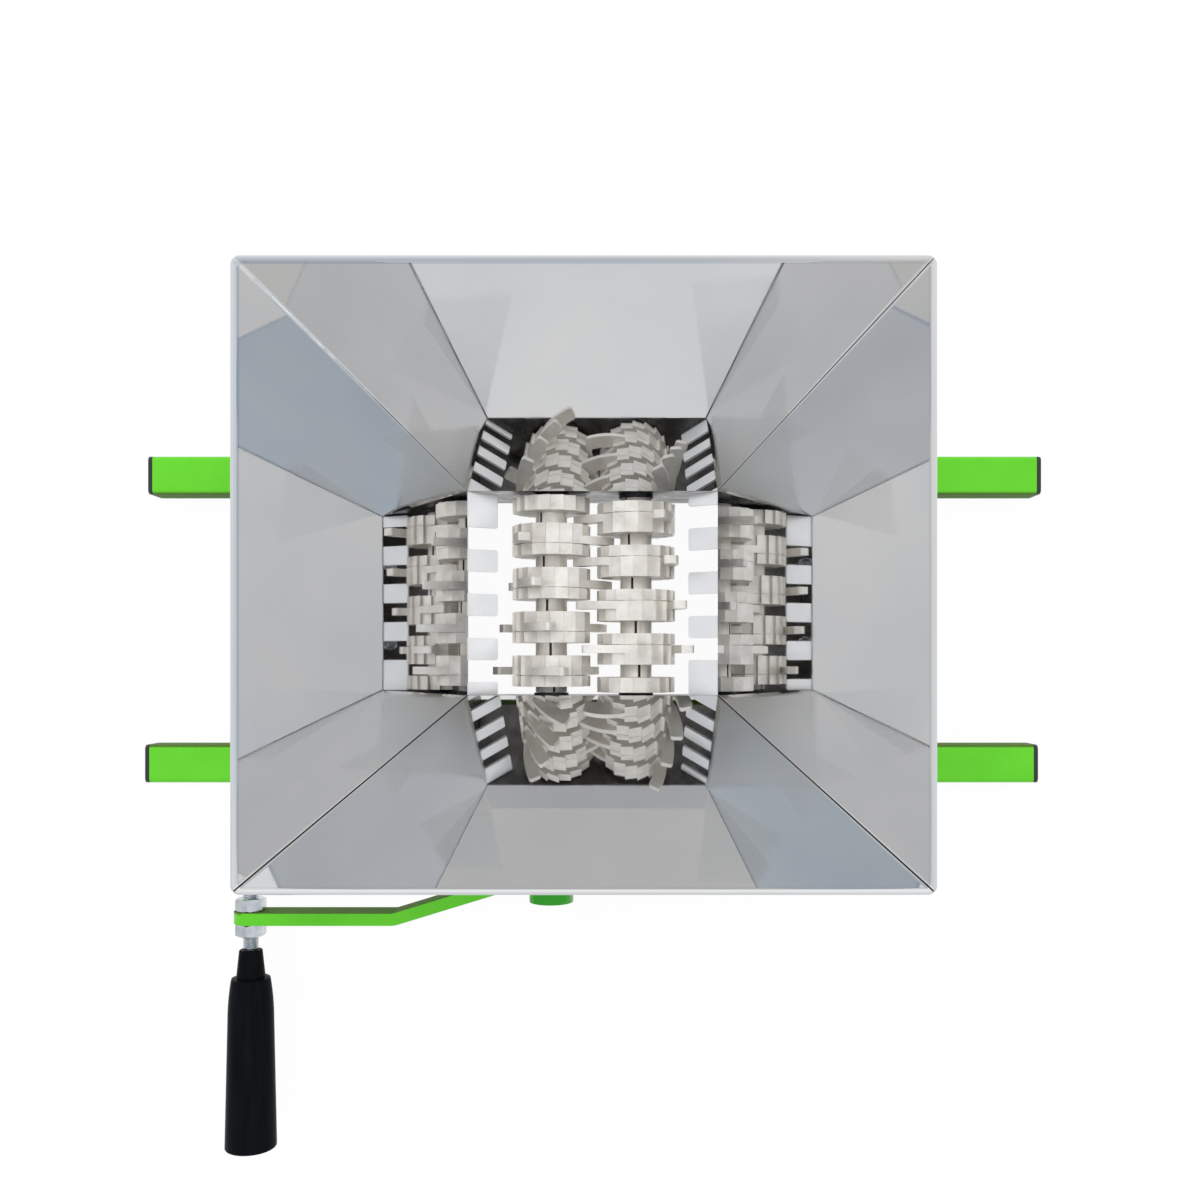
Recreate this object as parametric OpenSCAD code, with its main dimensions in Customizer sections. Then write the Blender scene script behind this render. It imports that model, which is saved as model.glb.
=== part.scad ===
// Hand-cranked apple scratter: two geared rollers of hooked wheels below a steel hopper.
// X runs along the rails, -Y points to the crank, Z is up, and the rails rest on Z = 0.
// The origin lies under the middle of the throat, where the pulp falls out.

/* [Rails] */
// Length of each rail over its end caps
rail_length = 588; // [500:1:800]
// Outside size of the square rail tube
rail_size = 25; // [22:0.5:30]
// Wall of the rail tube
rail_wall = 2; // [1.5:0.25:3]
// Outside corner radius of the rail tube
rail_round = 3; // [2:0.25:5]
// How far the front rail sits to the left of the rear one
rail_shift = 2; // [0:0.5:6]
// Thickness of an end cap outside its tube
cap_flange = 3; // [2:0.5:6]
// Length of an end cap's plug inside its tube
cap_plug = 14; // [8:1:20]

/* [Hopper] */
// Length of the mouth over its hem, along the rails
mouth_length = 343.9; // [300:0.1:400]
// Width of the mouth over its hem, across the rails
mouth_width = 311.4; // [260:0.1:360]
// Height of the sloping walls
hopper_height = 162; // [120:1:200]
// Sheet thickness of the hopper
sheet = 1.2; // [0.8:0.1:2]
// Width of the folded hem round the mouth
hem_width = 2.6; // [2.6:0.1:5]
// Height of the folded hem
hem_height = 9; // [6:0.5:15]
// Corner radius at the mouth, inside
mouth_round = 4; // [2:0.5:8]
// Corner radius at the throat, inside
throat_round = 1.5; // [1:0.25:3]
// Height of the throat above the roller axes
throat_rise = 26; // [25.5:0.5:40]

/* [Chamber] */
// Height of the roller axes above the ground
axle_height = 48; // [45:0.5:60]
// How far the end plates stand back from the throat's edge
throat_gap = 1; // [0.6:0.1:2]
// Room between the throat and each side plate
side_room = 8.8; // [8:0.1:14]
// Thickness of the rear and front plates
end_plate = 4; // [3:0.5:6]
// Thickness of the side plates
side_plate = 2.5; // [2:0.25:4]
// Height of the end plates' lower edges above the ground
plate_foot = 8; // [4:0.5:12]
// Length of the gear bay between the front plate and the front rail
gear_bay = 29; // [26:0.5:34]
// Thickness of the plate that closes the gear bay
bay_plate = 3; // [2:0.25:4]
// Sheet thickness of the gear bay's lid
lid_sheet = 1.5; // [1:0.25:2]

/* [Combs] */
// Sheet thickness of the combs
comb_sheet = 1.5; // [1:0.1:2]
// Width of the comb's leaf on the underside of the hopper's wall
comb_leaf = 8; // [5:0.5:8]
// How far the comb reaches in from the throat's edge
comb_reach = 17.4; // [12:0.1:18]
// Slope of the comb fingers below the level
comb_slope = 33.5; // [20:0.5:38]
// Corner radius of a finger's tip
finger_round = 1.5; // [0.5:0.25:3]

/* [Rollers] */
// Distance from one wheel to the next along a roller
wheel_pitch = 27.5; // [26:0.25:32]
// Width of one wheel
wheel_width = 19.5; // [17:0.25:20]
// Width of the plain disc at the end of each roller
disc_width = 9.5; // [7:0.5:12]
// Radius of a wheel over its scales
drum_radius = 24.9; // [22:0.1:25.5]
// Depth of the step from one scale to the next
scale_step = 2; // [0.5:0.1:2.5]
// Number of scales round a wheel
scale_count = 18; // [12:1:24]
// Radius at the tip of a claw
claw_reach = 41; // [36:0.5:41.5]
// Width of a claw along the axis
claw_width = 5; // [4:0.25:6]
// Depth of a claw from back to front
claw_depth = 8.5; // [6:0.5:10]
// Angle from a claw's tip back to its root
claw_span = 50; // [40:1:60]
// Height of the bow in a claw's back
claw_bow = 2.5; // [1:0.25:4]
// Rounding of a claw's tip
claw_round = 1.8; // [0.5:0.1:3]
// Turn from one wheel to the next
wheel_twist = 13; // [8:0.5:20]
// Angle of the drive roller's hooks before the first wheel
drive_phase = 128.5; // [90:0.5:210]
// Angle of the driven roller's hooks before its first wheel
driven_phase = 166; // [90:0.5:210]
// Diameter of the hubs between the wheels
hub_diameter = 20; // [19:0.5:22]
// Width of the groove along each hub
groove_width = 1.6; // [1:0.1:2.5]
// Depth of the groove along each hub
groove_depth = 1.2; // [0.6:0.1:1.6]
// Gap that divides a wheel into its two rows of scales
seam_gap = 0.5; // [0.3:0.1:1]
// Room between a claw's tip and the side of the throat
claw_room = 9.2; // [7:0.1:12]

/* [Shafts and gears] */
// Diameter of both roller shafts
shaft_diameter = 14; // [12:0.5:14.5]
// Module of the gear teeth
tooth_module = 3; // [2.9:0.05:3.2]
// Teeth on each gear
gear_teeth = 18; // [18:1:19]
// Width of each gear
gear_width = 14; // [10:0.5:16]
// Play between the gear teeth at the pitch line
backlash = 0.2; // [0.1:0.05:0.4]
// Diameter of the gear's boss
boss_diameter = 26; // [24:0.5:30]
// Depth of the recess in each face of a gear
web_recess = 3; // [1:0.5:5]
// Width and height of the square gear keys
key_size = 5; // [4:0.5:5]
// Outside diameter of the bushes in the plates
bush_diameter = 18; // [17:0.5:20]
// Diameter of the bush flanges
flange_diameter = 22; // [21:0.5:26]
// Thickness of the bush flanges
bush_flange = 2; // [1.5:0.25:3]
// How far the shafts stand out behind the rear plate
shaft_tail = 5; // [4:0.5:8]

/* [Crank] */
// Distance from the drive shaft to the grip
crank_radius = 192; // [150:1:220]
// Diameter of the crank's hub
crank_hub_diameter = 28; // [24:0.5:32]
// Length of the crank's hub
crank_hub_length = 35.5; // [30:0.5:45]
// Room between the hopper's rim and the hub's hidden end
rim_room = 4.15; // [3:0.05:15]
// Thickness of the crank arm
arm_thickness = 8; // [6:0.5:10]
// Height of the crank arm
arm_height = 20; // [16:0.5:24]
// Angle of the arm's sloping part
arm_angle = 17; // [10:0.5:22]
// Distance of the arm's bend from the drive shaft
bend_distance = 101; // [80:1:120]
// Inside radius of the arm's bend
bend_radius = 8; // [5:0.5:12]
// How far the arm's outer part stands in front of the hub's end
arm_offset = 5.7; // [3:0.1:10]

/* [Grip] */
// Length of the grip
grip_length = 126; // [100:1:140]
// Length of the grip's neck
neck_length = 17; // [12:0.5:22]
// Diameter at the start of the grip's neck
neck_diameter = 14.6; // [13.5:0.1:17]
// Diameter at the end of the grip's neck
neck_end_diameter = 18.3; // [17:0.1:21]
// Diameter of the shoulder after the neck
shoulder_diameter = 24.2; // [22:0.1:27]
// Diameter where the shoulder meets the long taper
waist_diameter = 28.7; // [27:0.1:31]
// Diameter at the grip's end
grip_diameter = 32.2; // [30:0.1:36]
// Bare length of the stud between the nut and the grip
stud_bare = 9; // [6:0.5:14]
// Diameter of the stud in the arm
stud_diameter = 10; // [9:0.5:10.5]
// Diameter of the stud inside the grip
spindle_diameter = 8; // [7:0.5:8.5]

/* [Fasteners] */
// Diameter of the frame bolts
bolt_diameter = 6; // [5:0.5:6.5]
// Width across flats of the frame bolts and nuts
bolt_flats = 10; // [9:0.5:11]
// Head height of the frame bolts
bolt_head = 4; // [3:0.25:5]
// Height of the frame nuts
nut_height = 5; // [4:0.25:6]
// Diameter of the lid screws
screw_diameter = 4; // [3:0.25:5]
// Head diameter of the lid screws
screw_head_diameter = 8; // [7:0.25:9]
// Head height of the lid screws
screw_head = 2.6; // [2:0.1:3]
// Width across flats of the stud nuts
stud_nut_flats = 17; // [15:0.5:18]
// Height of the stud nuts
stud_nut_height = 8; // [6:0.5:9]

/* [Clearances] */
// Radial clearance of a turning shaft in its bush
running_fit = 0.05; // [0.02:0.01:0.1]
// Radial clearance of a piece fixed on a shaft or in a plate
slip_fit = 0.05; // [0.02:0.01:0.1]
// Radial clearance of a bolt in its hole
bolt_fit = 0.2; // [0.1:0.05:0.3]
// End play of each roller between its bushes
end_play = 0.4; // [0.2:0.05:0.6]
// Gap between the hopper's walls and the plates that carry it
seat_gap = 0.2; // [0.1:0.05:0.5]

/* [Hidden] */
$fn = 72;

// One overrun serves all cuts, and a film starts and ends a lofted shell
overrun = 1;
film = 0.02;

// Rollers: the wheel places interleave with those of the same roller turned round
roller_spacing = tooth_module * gear_teeth;
roller_x = roller_spacing / 2;
wheel_gap = wheel_pitch - wheel_width;
first_wheel_share = 5 / 4;
stack_half = wheel_pitch * first_wheel_share + wheel_width / 2 + wheel_gap + disc_width;
last_wheel_y = wheel_pitch * (first_wheel_share - 3) - wheel_width / 2;
drum_core = drum_radius - scale_step - seam_gap;
drive_groove_lead = 0;
driven_groove_lead = -64;
corner_shares = [[1, 0], [0.62, 0.08], [0.29, 0.29], [0.08, 0.62], [0, 1]];

// Chamber
chamber_y = stack_half + end_play + bush_flange;
throat_z = axle_height + throat_rise;
throat_x = roller_x + claw_reach + claw_room;
throat_y = chamber_y - throat_gap;
chamber_x = throat_x + side_room;
front_y = chamber_y + end_plate;
bay_y = front_y + gear_bay;

// Hopper walls: how far they lean out for each unit of height, and their width when cut level
mouth_x = mouth_length / 2 - hem_width;
mouth_y = mouth_width / 2 - hem_width;
lean_x = (mouth_x - throat_x) / hopper_height;
lean_y = (mouth_y - throat_y) / hopper_height;
wall_x = sheet * sqrt(1 + lean_x * lean_x);
wall_y = sheet * sqrt(1 + lean_y * lean_y);
rim_z = throat_z + hopper_height;
side_top = throat_z + (chamber_x - throat_x - wall_x) / lean_x - seat_gap;
end_top = throat_z + (chamber_y - throat_y - wall_y) / lean_y - seat_gap;

// Brackets that hold the hopper to the side plates
bracket_sheet = 1.5;
bracket_width = 80;
bracket_leaf = 20;
bracket_edge = 8;
bracket_x = chamber_x + side_plate;
bracket_bolt_drop = 7;
bracket_bolt_z = throat_z - bracket_bolt_drop;
bracket_bolt_y = bracket_width / 2 - bracket_edge - bolt_diameter / 2;
weld_gap = 0.1;

// Combs: the bend lies below the outer corner of the throat's edge
comb_bend = [throat_x + wall_x + weld_gap, throat_z - weld_gap];
comb_finger = (comb_bend[0] - throat_x + comb_reach) / cos(comb_slope);

// Ears of the side plates that are bolted to the rails
ear_length = 26;
ear_height = 20;
ear_low = (rail_size - ear_height) / 2;
ear_bolt_x = chamber_x + side_plate + ear_length / 2;
rear_rail_y = front_y + rail_size / 2;
front_rail_y = -bay_y - rail_size / 2;
bolt_tip = 2;

// Lid over the gear bay
lid_flange = 14;
gear_room = 1.5;
lid_gap = 0.3;
lid_screw_y = front_y + (gear_bay - bay_plate) / 2;
lid_screw_spread = 7;
lid_screw_length = side_plate + lid_sheet + bolt_tip;

// Gears, keys and rings
gear_y = -front_y - (gear_bay - bay_plate) / 2;
pitch_radius = roller_spacing / 2;
pressure_angle = 20;
base_radius = pitch_radius * cos(pressure_angle);
tooth_tip = pitch_radius + tooth_module;
tooth_root = pitch_radius - tooth_module * 5 / 4;
rim_share = 0.86;
flank_steps = 4;
key_length = gear_width - 2;
key_depth_share = 0.6;
ring_thickness = 1.2;
ring_depth = 0.8;
ring_diameter = 21;
ring_gap = 0.3;
shaft_chamfer = 0.8;

// The lid clears the teeth below it and the hopper's sloping wall behind it
lid_z = axle_height + tooth_tip + gear_room;
lid_rear_y = -throat_y - wall_y - (lid_z + lid_sheet - throat_z) * lean_y - seat_gap;
lid_screw_z = lid_z - lid_flange / 2;

// Crank: its hub starts just in front of the hopper's rim
hub_rear_y = -mouth_width / 2 - rim_room;
hub_front_y = hub_rear_y - crank_hub_length;
hub_end = 5.5;
hub_bolt_setback = 9;
end_round_share = 1.04;
arm_rear_y = hub_front_y - arm_offset;
arm_front_y = arm_rear_y - arm_thickness;
grip_x = -roller_x - crank_radius;
bend_x = -roller_x - bend_distance;
stud_tip = 3;
stud_rear_y = arm_rear_y + stud_nut_height + stud_tip;
grip_rear_y = arm_front_y - stud_nut_height - stud_bare;
grip_front_y = grip_rear_y - grip_length;

// Grip: the shoulder swells to the long taper by shares of its length and its rise
grip_groove = 1;
shoulder_length = 27;
swell_shares = [[0.12, 0.3], [0.3, 0.58], [0.55, 0.82], [0.8, 0.95], [1, 1]];
grip_end_round = 2;
recess_depth = 12;
recess_diameter = 20;
spindle_nut_flats = 13;
spindle_nut_height = 8;
spindle_tip = 2;

// Forms that several pieces share

module rounded_outline(x, y, r) {
    square([2 * (x - r), 2 * y], center = true);
    square([2 * x, 2 * (y - r)], center = true);
    for (sx = [-1, 1], sy = [-1, 1])
        translate([sx * (x - r), sy * (y - r)])
            circle(r, $fn = 32);
}

// Rod along Y that starts at its rear end and runs toward the crank
module rod(x, z, rear, length, d) {
    translate([x, rear, z])
        rotate([90, 0, 0])
            cylinder(h = length, d = d);
}

// Hexagonal block along Y
module hexagon(x, z, rear, length, flats) {
    translate([x, rear, z])
        rotate([90, 0, 0])
            cylinder(h = length, d = flats / cos(30), $fn = 6);
}

// Outline drawn in X and Z, given its depth from a rear face toward the crank
module slab(rear, depth) {
    translate([0, rear, 0])
        rotate([90, 0, 0])
            linear_extrude(depth)
                children();
}

// Loft between two level outlines, for the sloping walls of the hopper
module funnel(low, high, low_size, high_size, low_round, high_round, start, end) {
    hull() {
        translate([0, 0, low + min(0, start)])
            linear_extrude(abs(start))
                rounded_outline(low_size[0], low_size[1], low_round);
        translate([0, 0, high + min(0, end)])
            linear_extrude(abs(end))
                rounded_outline(high_size[0], high_size[1], high_round);
    }
}

// Hopper

module hopper() {
    hem_z = rim_z - hem_height;
    hem_low = [mouth_length / 2 - hem_height * lean_x, mouth_width / 2 - hem_height * lean_y];
    color("gainsboro")
        difference() {
            union() {
                funnel(
                    throat_z, rim_z,
                    [throat_x + wall_x, throat_y + wall_y], [mouth_x + wall_x, mouth_y + wall_y],
                    throat_round + wall_x, mouth_round + wall_x, film, -film
                );
                funnel(
                    hem_z, rim_z,
                    hem_low, [mouth_length / 2, mouth_width / 2],
                    mouth_round + hem_width, mouth_round + hem_width, film, -film
                );
            }
            funnel(
                throat_z, rim_z,
                [throat_x, throat_y], [mouth_x, mouth_y],
                throat_round, mouth_round, -overrun, overrun
            );
        }
}

// Bent strip: its upright leaf lies on the side plate and its upper leaf on the hopper's wall
module hopper_bracket() {
    away = wall_x + weld_gap;
    foot_z = bracket_bolt_z - bracket_edge;
    turn_z = throat_z + (bracket_x - throat_x - away) / lean_x;
    step = bracket_leaf / sqrt(1 + lean_x * lean_x);
    across = bracket_sheet / sqrt(1 + lean_x * lean_x);
    difference() {
        slab(bracket_width / 2, bracket_width)
            polygon([
                [bracket_x, foot_z],
                [bracket_x + bracket_sheet, foot_z],
                [bracket_x + bracket_sheet, turn_z - across * lean_x],
                [bracket_x + step * lean_x + across, turn_z + step - across * lean_x],
                [bracket_x + step * lean_x, turn_z + step],
                [bracket_x, turn_z]
            ]);
        bracket_holes();
    }
}

module bracket_holes() {
    for (side = [-1, 1])
        translate([chamber_x - overrun, side * bracket_bolt_y, bracket_bolt_z])
            rotate([0, 90, 0])
                cylinder(
                    h = side_plate + bracket_sheet + 2 * overrun,
                    d = bolt_diameter + 2 * bolt_fit
                );
}

module left_hopper_bracket() {
    color("silver")
        rotate([0, 0, 180])
            hopper_bracket();
}

module right_hopper_bracket() {
    color("silver")
        hopper_bracket();
}

module hopper_bolts() {
    shank = side_plate + bracket_sheet + nut_height + bolt_tip;
    color("lightgray")
        for (end = [0, 180], side = [-1, 1])
            rotate([0, 0, end])
                translate([bracket_x + bracket_sheet, side * bracket_bolt_y, bracket_bolt_z])
                    rotate([0, 90, 0]) {
                        cylinder(h = bolt_head, d = bolt_flats / cos(30), $fn = 6);
                        translate([0, 0, -shank])
                            cylinder(h = shank + bolt_head / 2, d = bolt_diameter);
                    }
}

module hopper_nuts() {
    color("lightgray")
        for (end = [0, 180], side = [-1, 1])
            rotate([0, 0, end])
                translate([chamber_x - nut_height, side * bracket_bolt_y, bracket_bolt_z])
                    rotate([0, 90, 0])
                        difference() {
                            cylinder(h = nut_height, d = bolt_flats / cos(30), $fn = 6);
                            translate([0, 0, -overrun])
                                cylinder(
                                    h = nut_height + 2 * overrun,
                                    d = bolt_diameter + 2 * slip_fit
                                );
                        }
}

// Combs: bent sheets with a slot for each claw of the roller beside them

// Outline of a comb: its leaf under the sloping wall, its bend and a finger of the given length
module comb_outline(finger) {
    lean = atan(lean_x);
    top = comb_bend + comb_leaf * [sin(lean), cos(lean)];
    tip = comb_bend - finger * [cos(comb_slope), sin(comb_slope)];
    polygon(concat(
        [top, comb_bend],
        finger > 0 ? [tip, tip + comb_sheet * [sin(comb_slope), -cos(comb_slope)]] : [],
        [
            for (k = [0 : 4])
                let (a = (comb_slope - 90) * (1 - k / 4) - lean * k / 4)
                    comb_bend + comb_sheet * [cos(a), sin(a)]
        ],
        [top + comb_sheet * [cos(lean), -sin(lean)]]
    ));
}

// Removes the square corner of a finger's tip, on the side that the sign gives
module tip_corner(y, sign) {
    low = sign > 0 ? -finger_round : -overrun;
    translate([comb_bend[0], y, comb_bend[1]])
        rotate([0, -comb_slope, 0])
            translate([-comb_finger, 0, -comb_sheet - overrun])
                linear_extrude(comb_sheet + 2 * overrun)
                    difference() {
                        translate([-overrun, low])
                            square(finger_round + overrun);
                        translate([finger_round, -sign * finger_round])
                            circle(finger_round, $fn = 32);
                    }
}

module comb() {
    half = throat_y;
    slot = wheel_pitch / 2;
    // Slots are centred on the claws of the roller at this side
    starts = [for (k = [0 : 3]) -wheel_pitch * (first_wheel_share - k) + slot / 2];
    edges = concat([-half], starts);
    ends = concat([for (k = [0 : 3]) -wheel_pitch * (first_wheel_share - k) - slot / 2], [half]);
    slab(half, 2 * half)
        comb_outline(0);
    for (k = [0 : 4])
        difference() {
            slab(ends[k], ends[k] - edges[k])
                comb_outline(comb_finger);
            tip_corner(ends[k], 1);
            tip_corner(edges[k], -1);
        }
}

module right_comb() {
    color("gainsboro")
        comb();
}

module left_comb() {
    color("gainsboro")
        rotate([0, 0, 180])
            comb();
}

// Frame plates

// Each side plate runs from rail to rail and turns out into an ear at both ends
module side_frame() {
    difference() {
        union() {
            translate([chamber_x, -bay_y, ear_low])
                cube([side_plate, bay_y + front_y, side_top - ear_low]);
            translate([chamber_x, front_y - side_plate, ear_low])
                cube([side_plate + ear_length, side_plate, ear_height]);
            translate([chamber_x, -bay_y, ear_low])
                cube([side_plate + ear_length, side_plate, ear_height]);
        }
        bracket_holes();
        for (y = [front_y + overrun, -bay_y + side_plate + overrun])
            rod(ear_bolt_x, rail_size / 2, y, side_plate + 2 * overrun, bolt_diameter + 2 * bolt_fit);
        lid_holes();
    }
}

module lid_holes() {
    for (side = [-1, 1])
        translate([
            chamber_x - lid_sheet - overrun,
            -lid_screw_y + side * lid_screw_spread,
            lid_screw_z
        ])
            rotate([0, 90, 0])
                cylinder(
                    h = side_plate + lid_sheet + 2 * overrun,
                    d = screw_diameter + 2 * bolt_fit
                );
}

module right_side_plate() {
    color("silver")
        side_frame();
}

module left_side_plate() {
    color("silver")
        mirror([1, 0, 0])
            side_frame();
}

// Plate across the chamber with a round hole for each bush
module cross_plate(rear, thickness, top) {
    difference() {
        translate([-chamber_x, rear - thickness, plate_foot])
            cube([2 * chamber_x, thickness, top - plate_foot]);
        for (side = [-1, 1])
            rod(
                side * roller_x, axle_height, rear + overrun,
                thickness + 2 * overrun, bush_diameter + 2 * slip_fit
            );
    }
}

module rear_plate() {
    color("gainsboro")
        cross_plate(front_y, end_plate, end_top);
}

module front_plate() {
    color("gainsboro")
        cross_plate(-chamber_y, end_plate, end_top);
}

module gear_plate() {
    color("dimgray")
        cross_plate(-bay_y + bay_plate, bay_plate, lid_z);
}

module gear_lid() {
    color("silver")
        difference() {
            union() {
                translate([-chamber_x + lid_gap, -bay_y, lid_z])
                    cube([2 * (chamber_x - lid_gap), bay_y + lid_rear_y, lid_sheet]);
                for (side = [0, 1])
                    mirror([side, 0, 0])
                        translate([
                            chamber_x - lid_gap - lid_sheet,
                            -bay_y + bay_plate + lid_gap,
                            lid_z - lid_flange
                        ])
                            cube([
                                lid_sheet,
                                bay_y + lid_rear_y - bay_plate - lid_gap,
                                lid_flange + lid_sheet / 2
                            ]);
            }
            for (side = [0, 1])
                mirror([side, 0, 0])
                    lid_holes();
        }
}

module lid_screws() {
    color("lightgray")
        for (end = [0, 1], side = [-1, 1])
            mirror([end, 0, 0])
                translate([
                    chamber_x + side_plate,
                    -lid_screw_y + side * lid_screw_spread,
                    lid_screw_z
                ])
                    rotate([0, 90, 0]) {
                        cylinder(h = screw_head, d = screw_head_diameter);
                        translate([0, 0, -lid_screw_length])
                            cylinder(h = lid_screw_length + screw_head / 2, d = screw_diameter);
                    }
}

// Rails

module rail(middle) {
    inner = rail_size / 2 - rail_wall;
    difference() {
        translate([-rail_length / 2 + cap_flange, middle, rail_size / 2])
            rotate([90, 0, 90])
                linear_extrude(rail_length - 2 * cap_flange)
                    difference() {
                        rounded_outline(rail_size / 2, rail_size / 2, rail_round);
                        rounded_outline(inner, inner, max(rail_round - rail_wall, rail_wall / 4));
                    }
        for (side = [-1, 1])
            rod(
                side * ear_bolt_x + rail_bolt_shift(middle), rail_size / 2,
                middle + rail_size / 2 + overrun,
                rail_size + 2 * overrun, bolt_diameter + 2 * bolt_fit
            );
    }
}

// The front rail is moved along X as a whole, so its holes are moved back
function rail_bolt_shift(middle) = middle < 0 ? rail_shift : 0;

module rear_rail() {
    color("limegreen")
        rail(rear_rail_y);
}

module front_rail() {
    color("limegreen")
        translate([-rail_shift, 0, 0])
            rail(front_rail_y);
}

// Cap for the right end of a rail: a rounded plate and a hollow plug
module cap(middle) {
    plug = rail_size / 2 - rail_wall - bolt_fit;
    wall = cap_flange / 2;
    start = rail_length / 2 - cap_flange;
    translate([start, middle, rail_size / 2])
        rotate([90, 0, 90]) {
            linear_extrude(cap_flange)
                rounded_outline(rail_size / 2, rail_size / 2, rail_round);
            translate([0, 0, -cap_plug])
                linear_extrude(cap_plug + cap_flange / 2)
                    difference() {
                        rounded_outline(plug, plug, rail_round - rail_wall / 2);
                        rounded_outline(plug - wall, plug - wall, rail_round / 2);
                    }
        }
}

module rear_right_cap() {
    color("black")
        cap(rear_rail_y);
}

module rear_left_cap() {
    color("black")
        mirror([1, 0, 0])
            cap(rear_rail_y);
}

module front_right_cap() {
    color("black")
        translate([-rail_shift, 0, 0])
            cap(front_rail_y);
}

module front_left_cap() {
    color("black")
        translate([-rail_shift, 0, 0])
            mirror([1, 0, 0])
                cap(front_rail_y);
}

module rail_bolts() {
    shank = rail_size + side_plate + nut_height + bolt_tip;
    color("lightgray")
        for (side = [-1, 1], end = [0, 1]) {
            outer = end == 0 ? front_y + rail_size : bay_y + rail_size;
            mirror([0, end, 0]) {
                hexagon(side * ear_bolt_x, rail_size / 2, outer + bolt_head, bolt_head, bolt_flats);
                rod(
                    side * ear_bolt_x, rail_size / 2, outer + bolt_head / 2,
                    shank + bolt_head / 2, bolt_diameter
                );
            }
        }
}

module rail_nuts() {
    color("lightgray")
        for (side = [-1, 1], end = [0, 1]) {
            inner = end == 0 ? front_y - side_plate : bay_y - side_plate;
            mirror([0, end, 0])
                difference() {
                    hexagon(side * ear_bolt_x, rail_size / 2, inner, nut_height, bolt_flats);
                    rod(
                        side * ear_bolt_x, rail_size / 2, inner + overrun,
                        nut_height + 2 * overrun, bolt_diameter + 2 * slip_fit
                    );
                }
        }
}

// Bushes: the flange lies on the plate's inner face and the sleeve fills its hole

module bush(x, plate_face, sleeve, turned) {
    color("black")
        translate([x, plate_face, axle_height])
            rotate([turned ? -90 : 90, 0, 0])
                difference() {
                    union() {
                        cylinder(h = bush_flange, d = flange_diameter);
                        translate([0, 0, -sleeve])
                            cylinder(h = sleeve + bush_flange / 2, d = bush_diameter);
                    }
                    translate([0, 0, -sleeve - overrun])
                        cylinder(
                            h = sleeve + bush_flange + 2 * overrun,
                            d = shaft_diameter + 2 * running_fit
                        );
                }
}

module rear_drive_bush() {
    bush(-roller_x, chamber_y, end_plate, false);
}

module rear_driven_bush() {
    bush(roller_x, chamber_y, end_plate, false);
}

module front_drive_bush() {
    bush(-roller_x, -chamber_y, end_plate, true);
}

module front_driven_bush() {
    bush(roller_x, -chamber_y, end_plate, true);
}

module outer_drive_bush() {
    bush(-roller_x, -bay_y + bay_plate, bay_plate, true);
}

module outer_driven_bush() {
    bush(roller_x, -bay_y + bay_plate, bay_plate, true);
}

// Wheels: the hooks lean clockwise as seen from the crank

// Outline of a wheel's scales, each highest at the edge that leads
module scale_outline(tip) {
    step = 360 / scale_count;
    polygon([
        for (k = [0 : scale_count - 1], e = [0, 1])
            let (r = drum_radius - e * scale_step, a = tip + (k + e) * step)
                [r * cos(a), r * sin(a)]
    ]);
}

// A claw is a bowed band from its root in the drum to its blunt tip
module claw_outline(tip) {
    root_r = drum_radius - scale_step;
    root = root_r * [cos(claw_span), sin(claw_span)];
    end = [claw_reach, 0];
    chord = norm(end - root);
    bow_r = (chord * chord / 4 + claw_bow * claw_bow) / (2 * claw_bow);
    along = (root - end) / chord;
    outward = [along[1], -along[0]];
    centre = (root + end) / 2 - (bow_r - claw_bow) * outward * sign(outward * end);
    end_a = atan2(end[1] - centre[1], end[0] - centre[0]);
    root_a = atan2(root[1] - centre[1], root[0] - centre[0]);
    corner_a = claw_round / bow_r * 180 / PI;
    sunk = 6;
    function at(r, a) = centre + r * [cos(a), sin(a)];
    rotate(tip)
        polygon(concat(
            [for (a = [root_a + sunk : -3 : end_a + corner_a]) at(bow_r, a)],
            [for (c = corner_shares) at(bow_r - c[1] * claw_round, end_a + c[0] * corner_a)],
            [
                for (k = [len(corner_shares) - 1 : -1 : 0])
                    let (c = corner_shares[k])
                        at(bow_r - claw_depth + c[1] * claw_round, end_a + c[0] * corner_a)
            ],
            [
                for (a = [end_a + corner_a : 3 : root_a + sunk])
                    at(bow_r - claw_depth, a)
            ]
        ));
}

module hub_groove(angle, rear, length) {
    rotate([0, -angle, 0])
        translate([
            hub_diameter / 2 - groove_depth,
            rear - length,
            -groove_width / 2
        ])
            cube([groove_depth + overrun, length, groove_width]);
}

module bore(rear, length) {
    rod(0, 0, rear + overrun, length + 2 * overrun, shaft_diameter + 2 * slip_fit);
}

// Wheel number k of a roller, on the axis, with its hub toward the next wheel
module cutter(k, phase, groove_lead) {
    tip = phase - k * wheel_twist;
    middle = wheel_pitch * (first_wheel_share - (k - 1));
    rear = middle + wheel_width / 2;
    hub = k < 4 ? wheel_gap : stack_half + last_wheel_y;
    claw_row = (wheel_width + claw_width) / 2;
    color("antiquewhite")
        difference() {
            union() {
                slab(rear, claw_row)
                    scale_outline(tip);
                slab(rear - claw_row - seam_gap, wheel_width - claw_row - seam_gap)
                    scale_outline(tip);
                rod(0, 0, rear - wheel_width / 4, wheel_width / 2, 2 * drum_core);
                for (turn = [0, 120, 240])
                    slab(middle + claw_width / 2, claw_width)
                        claw_outline(tip + turn);
                difference() {
                    rod(0, 0, rear - wheel_width / 2, wheel_width / 2 + hub, hub_diameter);
                    hub_groove(tip + groove_lead, rear - wheel_width, hub + overrun);
                }
            }
            bore(rear, wheel_width + hub);
        }
}

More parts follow.
